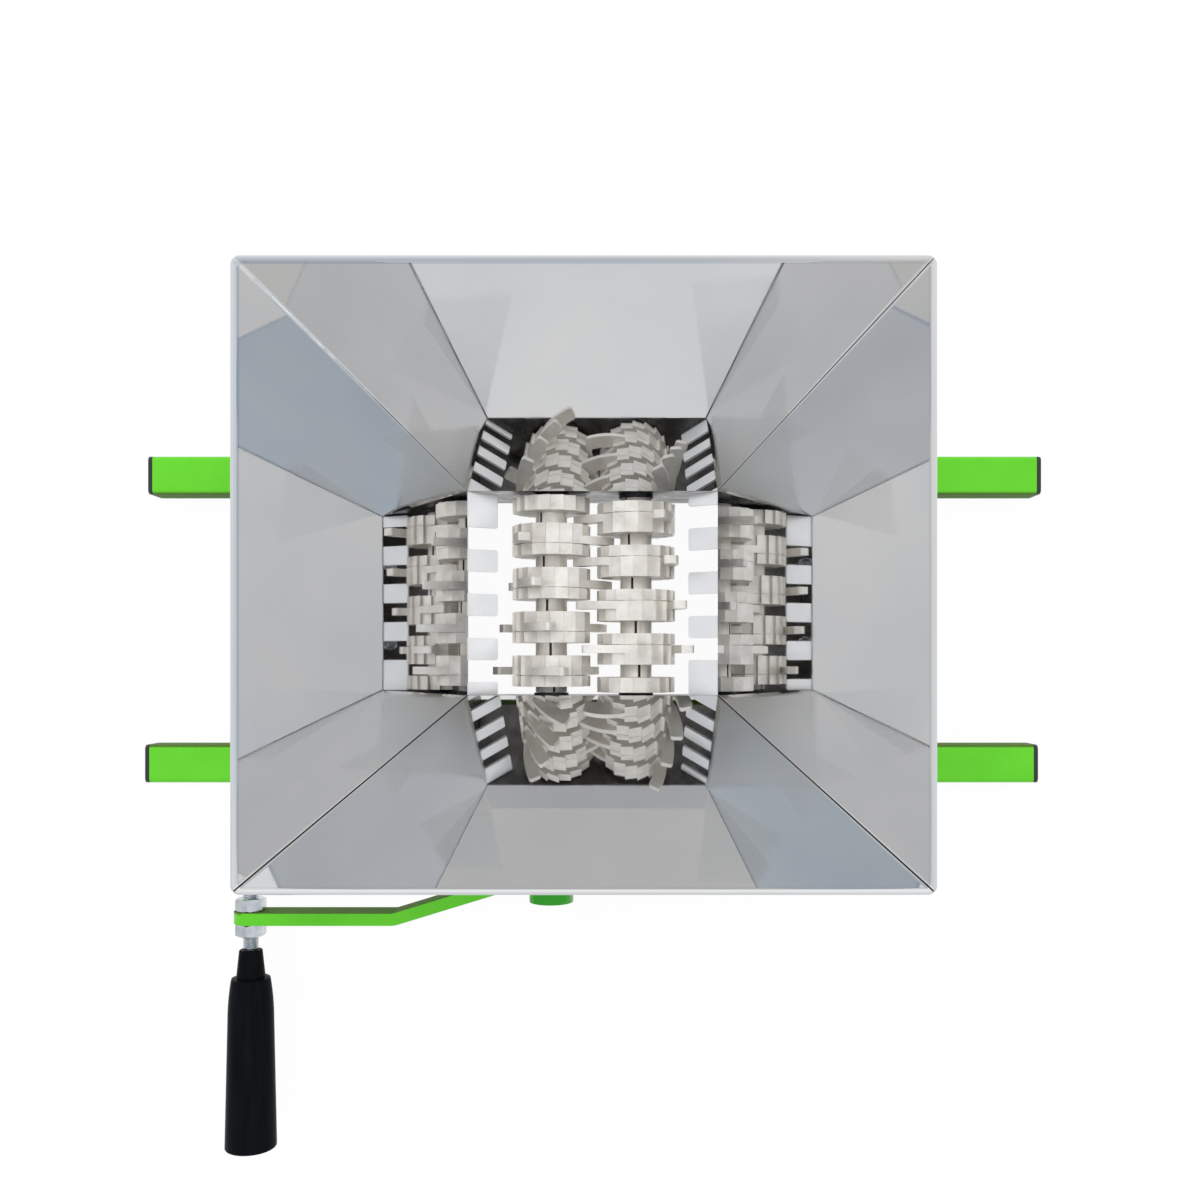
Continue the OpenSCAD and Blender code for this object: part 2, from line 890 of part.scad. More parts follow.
// Narrow disc of scales without claws, at the end of a roller
module disc(phase, groove_lead) {
    color("antiquewhite")
        difference() {
            union() {
                slab(stack_half, disc_width)
                    scale_outline(phase);
                difference() {
                    rod(0, 0, stack_half - disc_width / 2, disc_width / 2 + wheel_gap, hub_diameter);
                    hub_groove(phase + groove_lead, stack_half - disc_width, wheel_gap + overrun);
                }
            }
            bore(stack_half, disc_width + wheel_gap);
        }
}

module at_drive() {
    translate([-roller_x, 0, axle_height])
        children();
}

// The driven roller is the same roller turned round
module at_driven() {
    translate([roller_x, 0, axle_height])
        rotate([0, 0, 180])
            children();
}

module drive_cutter(k) {
    at_drive()
        cutter(k, drive_phase, drive_groove_lead);
}

module driven_cutter(k) {
    at_driven()
        cutter(k, driven_phase, driven_groove_lead);
}

module drive_disc() {
    at_drive()
        disc(drive_phase, drive_groove_lead);
}

module driven_disc() {
    at_driven()
        disc(driven_phase, driven_groove_lead);
}

// Shafts

// Plain shaft with a groove for its ring and a pocket for its gear's key
module shaft(x, front) {
    rear = front_y + shaft_tail;
    ring_rear = front_y + ring_gap + ring_thickness;
    difference() {
        translate([x, rear, axle_height])
            rotate([90, 0, 0]) {
                cylinder(
                    h = shaft_chamfer,
                    d1 = shaft_diameter - 2 * shaft_chamfer, d2 = shaft_diameter
                );
                translate([0, 0, shaft_chamfer])
                    cylinder(h = rear - front - shaft_chamfer, d = shaft_diameter);
            }
        translate([x, ring_rear, axle_height])
            rotate([90, 0, 0])
                difference() {
                    cylinder(h = ring_thickness, d = shaft_diameter + 2 * overrun);
                    cylinder(h = ring_thickness, d = shaft_diameter - 2 * ring_depth);
                }
        key_block(x, slip_fit);
    }
}

// Space of a gear key, half in the shaft and half in the gear
module key_block(x, room) {
    depth = key_size * key_depth_share;
    translate([
        x - key_size / 2 - room,
        gear_y - key_length / 2 - room,
        axle_height + shaft_diameter / 2 - depth - room
    ])
        cube([key_size + 2 * room, key_length + 2 * room, key_size + 2 * room]);
}

module drive_shaft() {
    color("silver")
        difference() {
            shaft(-roller_x, hub_front_y + hub_end + slip_fit);
            hub_bolt_hole();
        }
}

module driven_shaft() {
    color("silver")
        shaft(roller_x, -bay_y);
}

module drive_key() {
    color("dimgray")
        key_block(-roller_x, 0);
}

module driven_key() {
    color("dimgray")
        key_block(roller_x, 0);
}

// Open ring snapped into the groove behind the rear plate
module ring(x) {
    opening = shaft_diameter * 5 / 8;
    color("dimgray")
        translate([x, front_y + ring_gap + ring_thickness - slip_fit, axle_height])
            rotate([90, 0, 0])
                difference() {
                    cylinder(h = ring_thickness - 2 * slip_fit, d = ring_diameter);
                    translate([0, 0, -overrun])
                        cylinder(
                            h = ring_thickness + 2 * overrun,
                            d = shaft_diameter - 2 * ring_depth + 2 * slip_fit
                        );
                    translate([-opening / 2, -ring_diameter, -overrun])
                        cube([opening, ring_diameter, ring_thickness + 2 * overrun]);
                }
}

module drive_ring() {
    ring(-roller_x);
}

module driven_ring() {
    ring(roller_x);
}

// Gears

function roll(r) = sqrt(max(0, r * r / (base_radius * base_radius) - 1));
function flank_angle(r) = roll(r) * 180 / PI - atan(roll(r));

// Half the angle of a tooth at radius r, on its involute flank
function tooth_half(r) =
    90 / gear_teeth - backlash / 2 / pitch_radius * 180 / PI
    + flank_angle(pitch_radius) - flank_angle(r);

module tooth_outline() {
    radii = concat(
        [tooth_root],
        [for (k = [0 : flank_steps]) base_radius + (tooth_tip - base_radius) * k / flank_steps]
    );
    last = len(radii) - 1;
    polygon([
        for (tooth = [0 : gear_teeth - 1], side = [-1, 1], k = [0 : last])
            let (r = radii[side < 0 ? k : last - k], a = tooth * 360 / gear_teeth + side * tooth_half(r))
                [r * cos(a), r * sin(a)]
    ]);
}

module gear(x, turn) {
    rim = 2 * tooth_root * rim_share;
    color("lightgray")
        difference() {
            translate([x, gear_y + gear_width / 2, axle_height])
                rotate([90, 0, 0])
                    difference() {
                        rotate(turn)
                            linear_extrude(gear_width)
                                tooth_outline();
                        for (z = [-overrun, gear_width - web_recess])
                            translate([0, 0, z])
                                difference() {
                                    cylinder(h = web_recess + overrun, d = rim);
                                    cylinder(h = web_recess + overrun, d = boss_diameter);
                                }
                    }
            rod(
                x, axle_height, gear_y + gear_width / 2 + overrun,
                gear_width + 2 * overrun, shaft_diameter + 2 * slip_fit
            );
            key_block(x, slip_fit);
        }
}

module drive_gear() {
    gear(-roller_x, 0);
}

// A gap of this gear faces a tooth of the other
module driven_gear() {
    gear(roller_x, 180 + 180 / gear_teeth);
}

// Crank

module crank_hub() {
    color("limegreen")
        difference() {
            rod(-roller_x, axle_height, hub_rear_y, crank_hub_length, crank_hub_diameter);
            rod(
                -roller_x, axle_height, hub_rear_y + overrun,
                crank_hub_length - hub_end + overrun, shaft_diameter + 2 * slip_fit
            );
            hub_bolt_hole();
        }
}

module hub_bolt_hole() {
    reach = crank_hub_diameter / 2 + overrun;
    translate([-roller_x, hub_rear_y - hub_bolt_setback, axle_height - reach])
        cylinder(h = 2 * reach, d = bolt_diameter + 2 * bolt_fit);
}

// Flat bar: a straight outer part, a bend, and a part that slopes back to the hub
module arm_plan() {
    slope_length = (bend_distance - bend_radius * sin(arm_angle)) / cos(arm_angle);
    along = slope_length * [cos(arm_angle), sin(arm_angle)];
    centre = [bend_x, arm_rear_y + bend_radius];
    outer = bend_radius + arm_thickness;
    function at(r, a) = centre + r * [sin(a), -cos(a)];
    polygon(concat(
        [[grip_x - arm_height, arm_rear_y], [grip_x - arm_height, arm_front_y]],
        [for (k = [0 : 4]) at(outer, arm_angle * k / 4)],
        [at(outer, arm_angle) + along, at(bend_radius, arm_angle) + along],
        [for (k = [4 : -1 : 0]) at(bend_radius, arm_angle * k / 4)]
    ));
}

module crank_arm() {
    color("limegreen")
        difference() {
            intersection() {
                translate([0, 0, axle_height - arm_height / 2])
                    linear_extrude(arm_height)
                        arm_plan();
                union() {
                    rod(grip_x, axle_height, hub_rear_y, 2 * crank_hub_length, end_round_share * arm_height);
                    translate([grip_x, hub_rear_y - 2 * crank_hub_length, axle_height - arm_height])
                        cube([crank_radius, 2 * crank_hub_length, 2 * arm_height]);
                }
            }
            rod(
                -roller_x, axle_height, hub_rear_y + overrun,
                crank_hub_length + 2 * overrun, crank_hub_diameter
            );
            rod(
                grip_x, axle_height, arm_rear_y + overrun,
                arm_thickness + 2 * overrun, stud_diameter + 2 * bolt_fit
            );
        }
}

module hub_bolt() {
    reach = crank_hub_diameter / 2 + nut_height + bolt_tip;
    color("lightgray")
        translate([-roller_x, hub_rear_y - hub_bolt_setback, axle_height]) {
            translate([0, 0, -reach])
                cylinder(h = reach + crank_hub_diameter / 2 + bolt_head / 2, d = bolt_diameter);
            translate([0, 0, crank_hub_diameter / 2])
                cylinder(h = bolt_head, d = bolt_flats / cos(30), $fn = 6);
        }
}

module hub_nut() {
    color("lightgray")
        translate([
            -roller_x,
            hub_rear_y - hub_bolt_setback,
            axle_height - crank_hub_diameter / 2 - nut_height
        ])
            difference() {
                cylinder(h = nut_height, d = bolt_flats / cos(30), $fn = 6);
                translate([0, 0, -overrun])
                    cylinder(h = nut_height + 2 * overrun, d = bolt_diameter + 2 * slip_fit);
            }
}

// Stud of the grip: thick in the arm, thinner where the grip turns on it
module grip_stud() {
    thin_rear = grip_rear_y + stud_bare / 2;
    thin_front = grip_front_y + recess_depth - end_play - spindle_nut_height - spindle_tip;
    color("lightgray") {
        rod(grip_x, axle_height, stud_rear_y, stud_rear_y - grip_rear_y - end_play, stud_diameter);
        rod(grip_x, axle_height, thin_rear, thin_rear - thin_front, spindle_diameter);
    }
}

module stud_nuts() {
    color("lightgray")
        for (rear = [arm_rear_y + stud_nut_height, arm_front_y])
            difference() {
                hexagon(grip_x, axle_height, rear, stud_nut_height, stud_nut_flats);
                rod(
                    grip_x, axle_height, rear + overrun,
                    stud_nut_height + 2 * overrun, stud_diameter + 2 * slip_fit
                );
            }
}

module spindle_nut() {
    rear = grip_front_y + recess_depth - end_play;
    color("lightgray")
        difference() {
            hexagon(grip_x, axle_height, rear, spindle_nut_height, spindle_nut_flats);
            rod(
                grip_x, axle_height, rear + overrun,
                spindle_nut_height + 2 * overrun, spindle_diameter + 2 * slip_fit
            );
        }
}

// Grip: a turned form with a neck, a groove and a long swelling body
module handle_grip() {
    neck = neck_diameter / 2;
    neck_end = neck_end_diameter / 2;
    shoulder = shoulder_diameter / 2;
    waist = waist_diameter / 2;
    outer = grip_diameter / 2;
    hole = spindle_diameter / 2 + running_fit;
    start = neck_length + grip_groove;
    color("black")
        translate([grip_x, grip_rear_y, axle_height])
            rotate([90, 0, 0])
                difference() {
                    rotate_extrude()
                        polygon(concat(
                            [
                                [hole, 0],
                                [neck - grip_groove, 0],
                                [neck, grip_groove],
                                [neck_end, neck_length],
                                [neck_end - grip_groove / 2, neck_length],
                                [neck_end - grip_groove / 2, start],
                                [shoulder, start]
                            ],
                            [
                                for (s = swell_shares)
                                    [
                                        shoulder + (waist - shoulder) * s[1],
                                        start + (shoulder_length - grip_groove) * s[0]
                                    ]
                            ],
                            [
                                for (s = corner_shares)
                                    [
                                        outer - s[1] * grip_end_round,
                                        grip_length - s[0] * grip_end_round
                                    ]
                            ],
                            [[hole, grip_length]]
                        ));
                    translate([0, 0, grip_length - recess_depth])
                        cylinder(h = recess_depth + overrun, d = recess_diameter);
                }
}

hopper();
left_hopper_bracket();
right_hopper_bracket();
hopper_bolts();
hopper_nuts();
left_comb();
right_comb();
left_side_plate();
right_side_plate();
rear_plate();
front_plate();
gear_plate();
gear_lid();
lid_screws();
rear_rail();
front_rail();
rear_left_cap();
rear_right_cap();
front_left_cap();
front_right_cap();
rail_bolts();
rail_nuts();
rear_drive_bush();
rear_driven_bush();
front_drive_bush();
front_driven_bush();
outer_drive_bush();
outer_driven_bush();
drive_shaft();
drive_disc();
drive_cutter(1);  // drive_cutter_1
drive_cutter(2);  // drive_cutter_2
drive_cutter(3);  // drive_cutter_3
drive_cutter(4);  // drive_cutter_4
drive_gear();
drive_key();
drive_ring();
driven_shaft();
driven_disc();
driven_cutter(1);  // driven_cutter_1
driven_cutter(2);  // driven_cutter_2
driven_cutter(3);  // driven_cutter_3
driven_cutter(4);  // driven_cutter_4
driven_gear();
driven_key();
driven_ring();
crank_hub();
crank_arm();
hub_bolt();
hub_nut();
grip_stud();
stud_nuts();
spindle_nut();
handle_grip();
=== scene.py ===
import math

import bmesh
import bpy
from mathutils import Matrix, Vector


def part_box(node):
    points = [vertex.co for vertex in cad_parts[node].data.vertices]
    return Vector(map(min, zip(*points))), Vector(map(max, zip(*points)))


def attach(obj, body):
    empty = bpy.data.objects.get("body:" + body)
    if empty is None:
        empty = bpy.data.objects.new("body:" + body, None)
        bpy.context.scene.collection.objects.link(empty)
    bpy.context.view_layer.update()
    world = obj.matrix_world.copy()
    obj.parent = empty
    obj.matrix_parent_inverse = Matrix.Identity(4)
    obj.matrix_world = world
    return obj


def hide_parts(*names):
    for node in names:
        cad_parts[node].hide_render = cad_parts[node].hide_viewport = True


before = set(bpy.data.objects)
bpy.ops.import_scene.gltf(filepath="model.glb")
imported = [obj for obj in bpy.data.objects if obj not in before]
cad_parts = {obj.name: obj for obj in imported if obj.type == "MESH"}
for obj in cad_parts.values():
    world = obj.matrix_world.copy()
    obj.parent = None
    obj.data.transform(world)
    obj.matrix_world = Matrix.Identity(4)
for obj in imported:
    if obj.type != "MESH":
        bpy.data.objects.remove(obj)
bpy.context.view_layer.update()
print("frame loaded:", len(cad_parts), "CAD nodes")

# Shapes are given in millimetres, and sizes inside a finish in metres
mm = 0.001


def nodeBox(name):
    low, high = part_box(name)
    return low / mm, high / mm


# Helpers for shader nodes

def startMaterial(name, metal=0.0):
    material = bpy.data.materials.new(name)
    material.use_nodes = True
    tree = material.node_tree
    shader = tree.nodes["Principled BSDF"]
    shader.inputs["Metallic"].default_value = metal
    place = tree.nodes.new("ShaderNodeTexCoord").outputs["Object"]
    return material, tree, shader, place


def setSocket(tree, socket, value):
    # A value is another node's output, a number or a tone of three numbers
    if isinstance(value, bpy.types.NodeSocket):
        tree.links.new(value, socket)
    elif isinstance(value, (int, float)):
        socket.default_value = value
    else:
        socket.default_value = (*value, 1)


def stretchPlace(tree, place, scale):
    mapping = tree.nodes.new("ShaderNodeMapping")
    mapping.inputs["Scale"].default_value = scale
    tree.links.new(place, mapping.inputs["Vector"])
    return mapping.outputs["Vector"]


def addNoise(tree, place, size, detail, roughness=0.5):
    # size is the rough width of one patch in metres
    noise = tree.nodes.new("ShaderNodeTexNoise")
    noise.inputs["Scale"].default_value = 1 / size
    noise.inputs["Detail"].default_value = detail
    noise.inputs["Roughness"].default_value = roughness
    tree.links.new(place, noise.inputs["Vector"])
    return noise.outputs["Fac"]


# Nearly all values that a noise takes
noiseSpan = (0.35, 0.65)


def addRange(tree, value, low, high, fromLow=noiseSpan[0], fromHigh=noiseSpan[1], smooth=False):
    span = tree.nodes.new("ShaderNodeMapRange")
    span.interpolation_type = "SMOOTHSTEP" if smooth else "LINEAR"
    span.inputs["From Min"].default_value = fromLow
    span.inputs["From Max"].default_value = fromHigh
    span.inputs["To Min"].default_value = low
    span.inputs["To Max"].default_value = high
    tree.links.new(value, span.inputs["Value"])
    return span.outputs["Result"]


def addMix(tree, factor, first, second, blend="MIX"):
    mix = tree.nodes.new("ShaderNodeMix")
    mix.data_type = "RGBA"
    mix.blend_type = blend
    # These three of the node's sockets are the ones for colours
    for number, value in ((0, factor), (6, first), (7, second)):
        setSocket(tree, mix.inputs[number], value)
    return mix.outputs[2]


def addMath(tree, operation, first, second=0.0):
    step = tree.nodes.new("ShaderNodeMath")
    step.operation = operation
    setSocket(tree, step.inputs[0], first)
    setSocket(tree, step.inputs[1], second)
    return step.outputs[0]


def addDot(tree, place, direction):
    dot = tree.nodes.new("ShaderNodeVectorMath")
    dot.operation = "DOT_PRODUCT"
    dot.inputs[1].default_value = direction
    tree.links.new(place, dot.inputs[0])
    return dot.outputs["Value"]


def splitPlace(tree, place):
    parts = tree.nodes.new("ShaderNodeSeparateXYZ")
    tree.links.new(place, parts.inputs[0])
    return parts.outputs


def addBump(tree, shader, height, distance, strength=1.0):
    # Bumps stack: each new one starts from the normal that the last one left
    bump = tree.nodes.new("ShaderNodeBump")
    bump.inputs["Distance"].default_value = distance
    bump.inputs["Strength"].default_value = strength
    tree.links.new(height, bump.inputs["Height"])
    old = shader.inputs["Normal"].links
    if old:
        tree.links.new(old[0].from_socket, bump.inputs["Normal"])
    tree.links.new(bump.outputs["Normal"], shader.inputs["Normal"])


def tint(tree, shader, tone):
    tree.links.new(tone, shader.inputs["Base Color"])


def roughen(tree, shader, value):
    tree.links.new(value, shader.inputs["Roughness"])


def blendTones(tree, noise, first, second, span=noiseSpan):
    return addMix(tree, addRange(tree, noise, 0, 1, *span), first, second)


# Finishes. A noise is given as the size of a patch, its detail and its roughness

hopperSteelValues = {
    "tone": (0.745, 0.745, 0.745),
    "clouded": (0.70, 0.708, 0.718),
    "clouds": (0.11, 4),
    # The fold carries a painted bluish reflection and painted shade along its inner half, most at the
    # rear left
    "hemTone": (0.68, 0.685, 0.69),
    "hemPaintedReflection": (0.56, 0.60, 0.66),
    "hemDepth": 0.0025,  # the hem's own tone starts this far below the rim's top
    "hemBlend": 0.0005,
    "reflectionBandEdge": (-0.0023, -0.0017),
    "reflectionBandToward": (-1, 1, 0),
    "reflectionBandSpan": (0.0, 0.12),
    "smears": (0.035, 5, 0.62),
    "smearStretch": (1, 1, 2.2),
    "rough": (0.012, 0.04),
    "waves": (0.085, 1),
    "waveDepth": 0.00006,
    # The lower middle of each wall is buffed bright; beside it, toward the corner welds, it is hazed
    "hazedRough": 0.30,
    "hazeBlend": 0.004,
    "buffedHalf": (0.0772, 0.063),
    "buffedTaper": (-0.22, -0.20),
    "buffedDrift": (0.06, -0.13),
    # Where the haze ends: a height that leans with X and Y, since the bright fields end unevenly
    "hazeLean": (-0.057, 0.12, 1.0),
    "hazeTop": (0.137, 0.147),
}


def addBuffedEdge(tree, parts, axis, rise):
    # How far a spot lies outside the buffed field of the walls that face along the other axis
    v = hopperSteelValues
    drift = addMath(tree, "MULTIPLY", rise, v["buffedDrift"][axis])
    side = addMath(tree, "ABSOLUTE", addMath(tree, "SUBTRACT", parts[axis], drift))
    taper = addMath(tree, "MULTIPLY", rise, v["buffedTaper"][axis])
    half = addMath(tree, "ADD", taper, v["buffedHalf"][axis])
    return addMath(tree, "SUBTRACT", side, half)


def addHaze(tree, place, parts, rise):
    v = hopperSteelValues
    beyondX = addBuffedEdge(tree, parts, 0, rise)
    beyondY = addBuffedEdge(tree, parts, 1, rise)
    nearest = addMath(tree, "MINIMUM", beyondX, beyondY)
    outside = addRange(tree, nearest, 0, 1, 0, v["hazeBlend"], True)
    low = addRange(tree, addDot(tree, place, v["hazeLean"]), 1, 0, *v["hazeTop"], True)
    return addMath(tree, "MULTIPLY", addMath(tree, "MULTIPLY", outside, low), v["hazedRough"])


# Painted reflection: a bluish band on the inner half of the hem, strongest toward the rear left
def addHemPaintedReflection(tree, place, parts, rimCorner):
    v = hopperSteelValues
    outX, outY = [
        addMath(tree, "SUBTRACT", addMath(tree, "ABSOLUTE", parts[axis]), rimCorner[axis])
        for axis in (0, 1)
    ]
    inner = addRange(tree, addMath(tree, "MAXIMUM", outX, outY), 1, 0, *v["reflectionBandEdge"], True)
    toward = addRange(tree, addDot(tree, place, v["reflectionBandToward"]), 0, 1, *v["reflectionBandSpan"], True)
    return addMath(tree, "MULTIPLY", inner, toward)


def makeHopperSteel():
    v = hopperSteelValues
    material, tree, shader, place = startMaterial("hopperSteel", 1)
    throatCorner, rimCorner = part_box("hopper")
    parts = splitPlace(tree, place)
    rise = addMath(tree, "SUBTRACT", parts[2], throatCorner.z)
    wall = blendTones(tree, addNoise(tree, place, *v["clouds"]), v["tone"], v["clouded"])
    # The hem's tone, with its painted bluish reflection band mixed in
    hem = addMix(tree, addHemPaintedReflection(tree, place, parts, rimCorner), v["hemTone"], v["hemPaintedReflection"])
    hemRise = rimCorner.z - v["hemDepth"] - throatCorner.z
    onHem = addRange(tree, rise, 0, 1, hemRise - v["hemBlend"], hemRise)
    tint(tree, shader, addMix(tree, onHem, wall, hem))
    smears = addNoise(tree, stretchPlace(tree, place, v["smearStretch"]), *v["smears"])
    rough = addRange(tree, smears, *v["rough"])
    roughen(tree, shader, addMath(tree, "ADD", rough, addHaze(tree, place, parts, rise)))
    addBump(tree, shader, addNoise(tree, place, *v["waves"]), v["waveDepth"])
    return material


combSteelValues = {
    "tone": (0.84, 0.845, 0.855),
    "dull": (0.79, 0.795, 0.81),
    "metal": 0.25,
    "patches": (0.02, 2),
    "grain": (0.008, 4),
    "rough": (0.3, 0.4),
    "waves": (0.03, 1),
    "waveDepth": 0.00006,
}


def makeCombSteel():
    v = combSteelValues
    material, tree, shader, place = startMaterial("combSteel", v["metal"])
    tint(tree, shader, blendTones(tree, addNoise(tree, place, *v["patches"]), v["tone"], v["dull"]))
    roughen(tree, shader, addRange(tree, addNoise(tree, place, *v["grain"]), *v["rough"]))
    addBump(tree, shader, addNoise(tree, place, *v["waves"]), v["waveDepth"])
    return material


shadedPlateValues = {
    "tone": (0.11, 0.107, 0.105),
    "dull": (0.065, 0.062, 0.06),
    "stains": (0.016, 5, 0.6),
    "rough": (0.22, 0.38),
    "grain": (0.003, 3),
    "grainDepth": 0.00004,
}


def makeShadedPlateSteel():
    # The chamber's plates: steel given a near-black tone as painted shade, for the shadow under the
    # throat
    v = shadedPlateValues
    material, tree, shader, place = startMaterial("shadedPlateSteel", 1)
    stains = addNoise(tree, place, *v["stains"])
    tint(tree, shader, blendTones(tree, stains, v["tone"], v["dull"]))
    roughen(tree, shader, addRange(tree, stains, *v["rough"]))
    addBump(tree, shader, addNoise(tree, place, *v["grain"]), v["grainDepth"])
    return material


sheetValues = {
    "tone": (0.60, 0.61, 0.63),
    "dull": (0.48, 0.49, 0.51),
    "patches": (0.03, 4),
    "brush": (0.006, 4, 0.6),
    "brushStretch": (9, 0.6, 9),
    "brushDepth": 0.00004,
    "rough": (0.26, 0.42),
}


def makeSheetSteel():
    v = sheetValues
    material, tree, shader, place = startMaterial("sheetSteel", 1)
    tint(tree, shader, blendTones(tree, addNoise(tree, place, *v["patches"]), v["tone"], v["dull"]))
    brush = addNoise(tree, stretchPlace(tree, place, v["brushStretch"]), *v["brush"])
    roughen(tree, shader, addRange(tree, brush, *v["rough"]))
    addBump(tree, shader, brush, v["brushDepth"])
    return material


paintValues = {
    "tone": (0.108, 0.555, 0.015),
    "deep": (0.094, 0.50, 0.012),
    # The hub's green is a darker copy of the same paint, as painted shade under the hopper's rim
    "shadedHubTone": (0.022, 0.34, 0.008),
    "shadedHubDeep": (0.018, 0.29, 0.006),
    "drift": (0.05, 3),
    # Upright faces toward the middle of the machine get a darker olive tone as painted shade, and are
    # made rougher
    "inwardShadeTone": (0.068, 0.155, 0.014),
    "inwardShadeRough": 0.75,
    "inwardShadeSpan": (-0.06, -0.03),
    "specular": 0.3,
    "gloss": (0.012, 3),
    "rough": (0.2, 0.32),
    "peel": (0.0016, 2),
    "peelDepth": 0.000035,
    "sag": (0.03, 2),
    "sagDepth": 0.0002,
    "sagStrength": 0.5,
}


def addInwardShade(tree, place):
    # 1 where an upright face looks toward the machine's middle line along X: the mask of the painted
    # shade
    alongY = (0, 1, 0)
    normal = tree.nodes.new("ShaderNodeNewGeometry").outputs["Normal"]
    inward = addMath(tree, "MULTIPLY", addDot(tree, place, alongY), addDot(tree, normal, alongY))
    return addRange(tree, inward, 1, 0, *paintValues["inwardShadeSpan"], True)


def makeGreenPaint(name, tone, deep):
    v = paintValues
    material, tree, shader, place = startMaterial(name)
    inwardShade = addInwardShade(tree, place)
    clean = blendTones(tree, addNoise(tree, place, *v["drift"]), v[tone], v[deep])
    # Painted shade: the inward upright faces take the darker olive tone
    tint(tree, shader, addMix(tree, inwardShade, clean, v["inwardShadeTone"]))
    gloss = addRange(tree, addNoise(tree, place, *v["gloss"]), *v["rough"])
    dulled = addMath(tree, "MULTIPLY", inwardShade, v["inwardShadeRough"])
    roughen(tree, shader, addMath(tree, "MAXIMUM", gloss, dulled))
    shader.inputs["Specular IOR Level"].default_value = v["specular"]
    addBump(tree, shader, addNoise(tree, place, *v["peel"]), v["peelDepth"])
    addBump(tree, shader, addNoise(tree, place, *v["sag"]), v["sagDepth"], v["sagStrength"])
    return material


darkValues = {
    "tone": (0.016, 0.016, 0.019),
    "worn": (0.035, 0.034, 0.036),
    "wear": (0.018, 5, 0.6),
    "wearSpan": (0.45, 0.75),
    "rough": (0.35, 0.55),
    "grain": (0.0011, 2),
    "grainDepth": 0.00003,
}


def makeDarkPaint():
    v = darkValues
    material, tree, shader, place = startMaterial("darkPaint")
    wear = addNoise(tree, place, *v["wear"])
    tint(tree, shader, blendTones(tree, wear, v["tone"], v["worn"], v["wearSpan"]))
    roughen(tree, shader, addRange(tree, wear, *v["rough"]))
    addBump(tree, shader, addNoise(tree, place, *v["grain"]), v["grainDepth"])
    return material


castValues = {
    "tone": (0.86, 0.83, 0.775),
    "chalk": (0.73, 0.695, 0.64),
    "metal": 0.45,
    "clouds": (0.014, 4, 0.6),
    "rough": (0.34, 0.56),
    # Juice and casting spots stay small and few
    "spot": (0.46, 0.40, 0.33),
    "spots": (0.0045, 5, 0.7),
    "spotSpan": (0.6, 0.74),
    "spotShare": 0.55,
    # The groove along each hub is near black below the hub's skin: painted shade in the groove
    "grooveShadeTone": (0.03, 0.027, 0.024),
    "grooveShadeEdge": (0.0093, 0.0097),
    "lumps": (0.0065, 3),
    "lumpDepth": 0.00035,
    "grain": (0.0009, 3, 0.6),
    "grainDepth": 0.00006,
}


def addGrooveShade(tree, place):
    # It follows the distance from the nearer shaft; the two shafts mirror each other along X
    low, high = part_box("drive_shaft")
    axis = (low + high) / 2
    parts = splitPlace(tree, place)
    across = addMath(tree, "SUBTRACT", addMath(tree, "ABSOLUTE", parts[0]), abs(axis.x))
    up = addMath(tree, "SUBTRACT", parts[2], axis.z)
    squares = [addMath(tree, "MULTIPLY", leg, leg) for leg in (across, up)]
    distance = addMath(tree, "SQRT", addMath(tree, "ADD", *squares))
    return addRange(tree, distance, 1, 0, *castValues["grooveShadeEdge"])


def makeCastAluminium():
    v = castValues
    material, tree, shader, place = startMaterial("castAluminium", v["metal"])
    clouds = addNoise(tree, place, *v["clouds"])
    tone = blendTones(tree, clouds, v["tone"], v["chalk"])
    spotted = addRange(tree, addNoise(tree, place, *v["spots"]), 0, v["spotShare"], *v["spotSpan"])
    tone = addMix(tree, spotted, tone, v["spot"])
    # Painted shade: the cast parts turn near black within the groove's radius from the shaft
    tint(tree, shader, addMix(tree, addGrooveShade(tree, place), tone, v["grooveShadeTone"]))
    roughen(tree, shader, addRange(tree, clouds, *v["rough"]))
    addBump(tree, shader, addNoise(tree, place, *v["lumps"]), v["lumpDepth"])
    addBump(tree, shader, addNoise(tree, place, *v["grain"]), v["grainDepth"])
    return material


zincValues = {
    "tone": (0.64, 0.655, 0.67),
    "bluish": (0.46, 0.50, 0.55),
    "drift": (0.006, 4),
    "shine": (0.002, 3),
    "rough": (0.14, 0.3),
    "grain": (0.0012, 2),
    "grainDepth": 0.00002,
}


def makeZincPlate():
    v = zincValues
    material, tree, shader, place = startMaterial("zincPlate", 1)
    tint(tree, shader, blendTones(tree, addNoise(tree, place, *v["drift"]), v["tone"], v["bluish"]))
    roughen(tree, shader, addRange(tree, addNoise(tree, place, *v["shine"]), *v["rough"]))
    addBump(tree, shader, addNoise(tree, place, *v["grain"]), v["grainDepth"])
    return material


shaftValues = {
    "tone": (0.50, 0.50, 0.51),
    "oiled": (0.34, 0.33, 0.32),
    "drift": (0.012, 4),
    "turned": (0.008, 3),
    "turnedStretch": (0.4, 14, 0.4),
    "turnedDepth": 0.00003,
    "rough": (0.22, 0.4),
}


def makeShaftSteel():
    v = shaftValues
    material, tree, shader, place = startMaterial("shaftSteel", 1)
    tint(tree, shader, blendTones(tree, addNoise(tree, place, *v["drift"]), v["tone"], v["oiled"]))
    turned = addNoise(tree, stretchPlace(tree, place, v["turnedStretch"]), *v["turned"])
    roughen(tree, shader, addRange(tree, turned, *v["rough"]))
    addBump(tree, shader, turned, v["turnedDepth"])
    return material


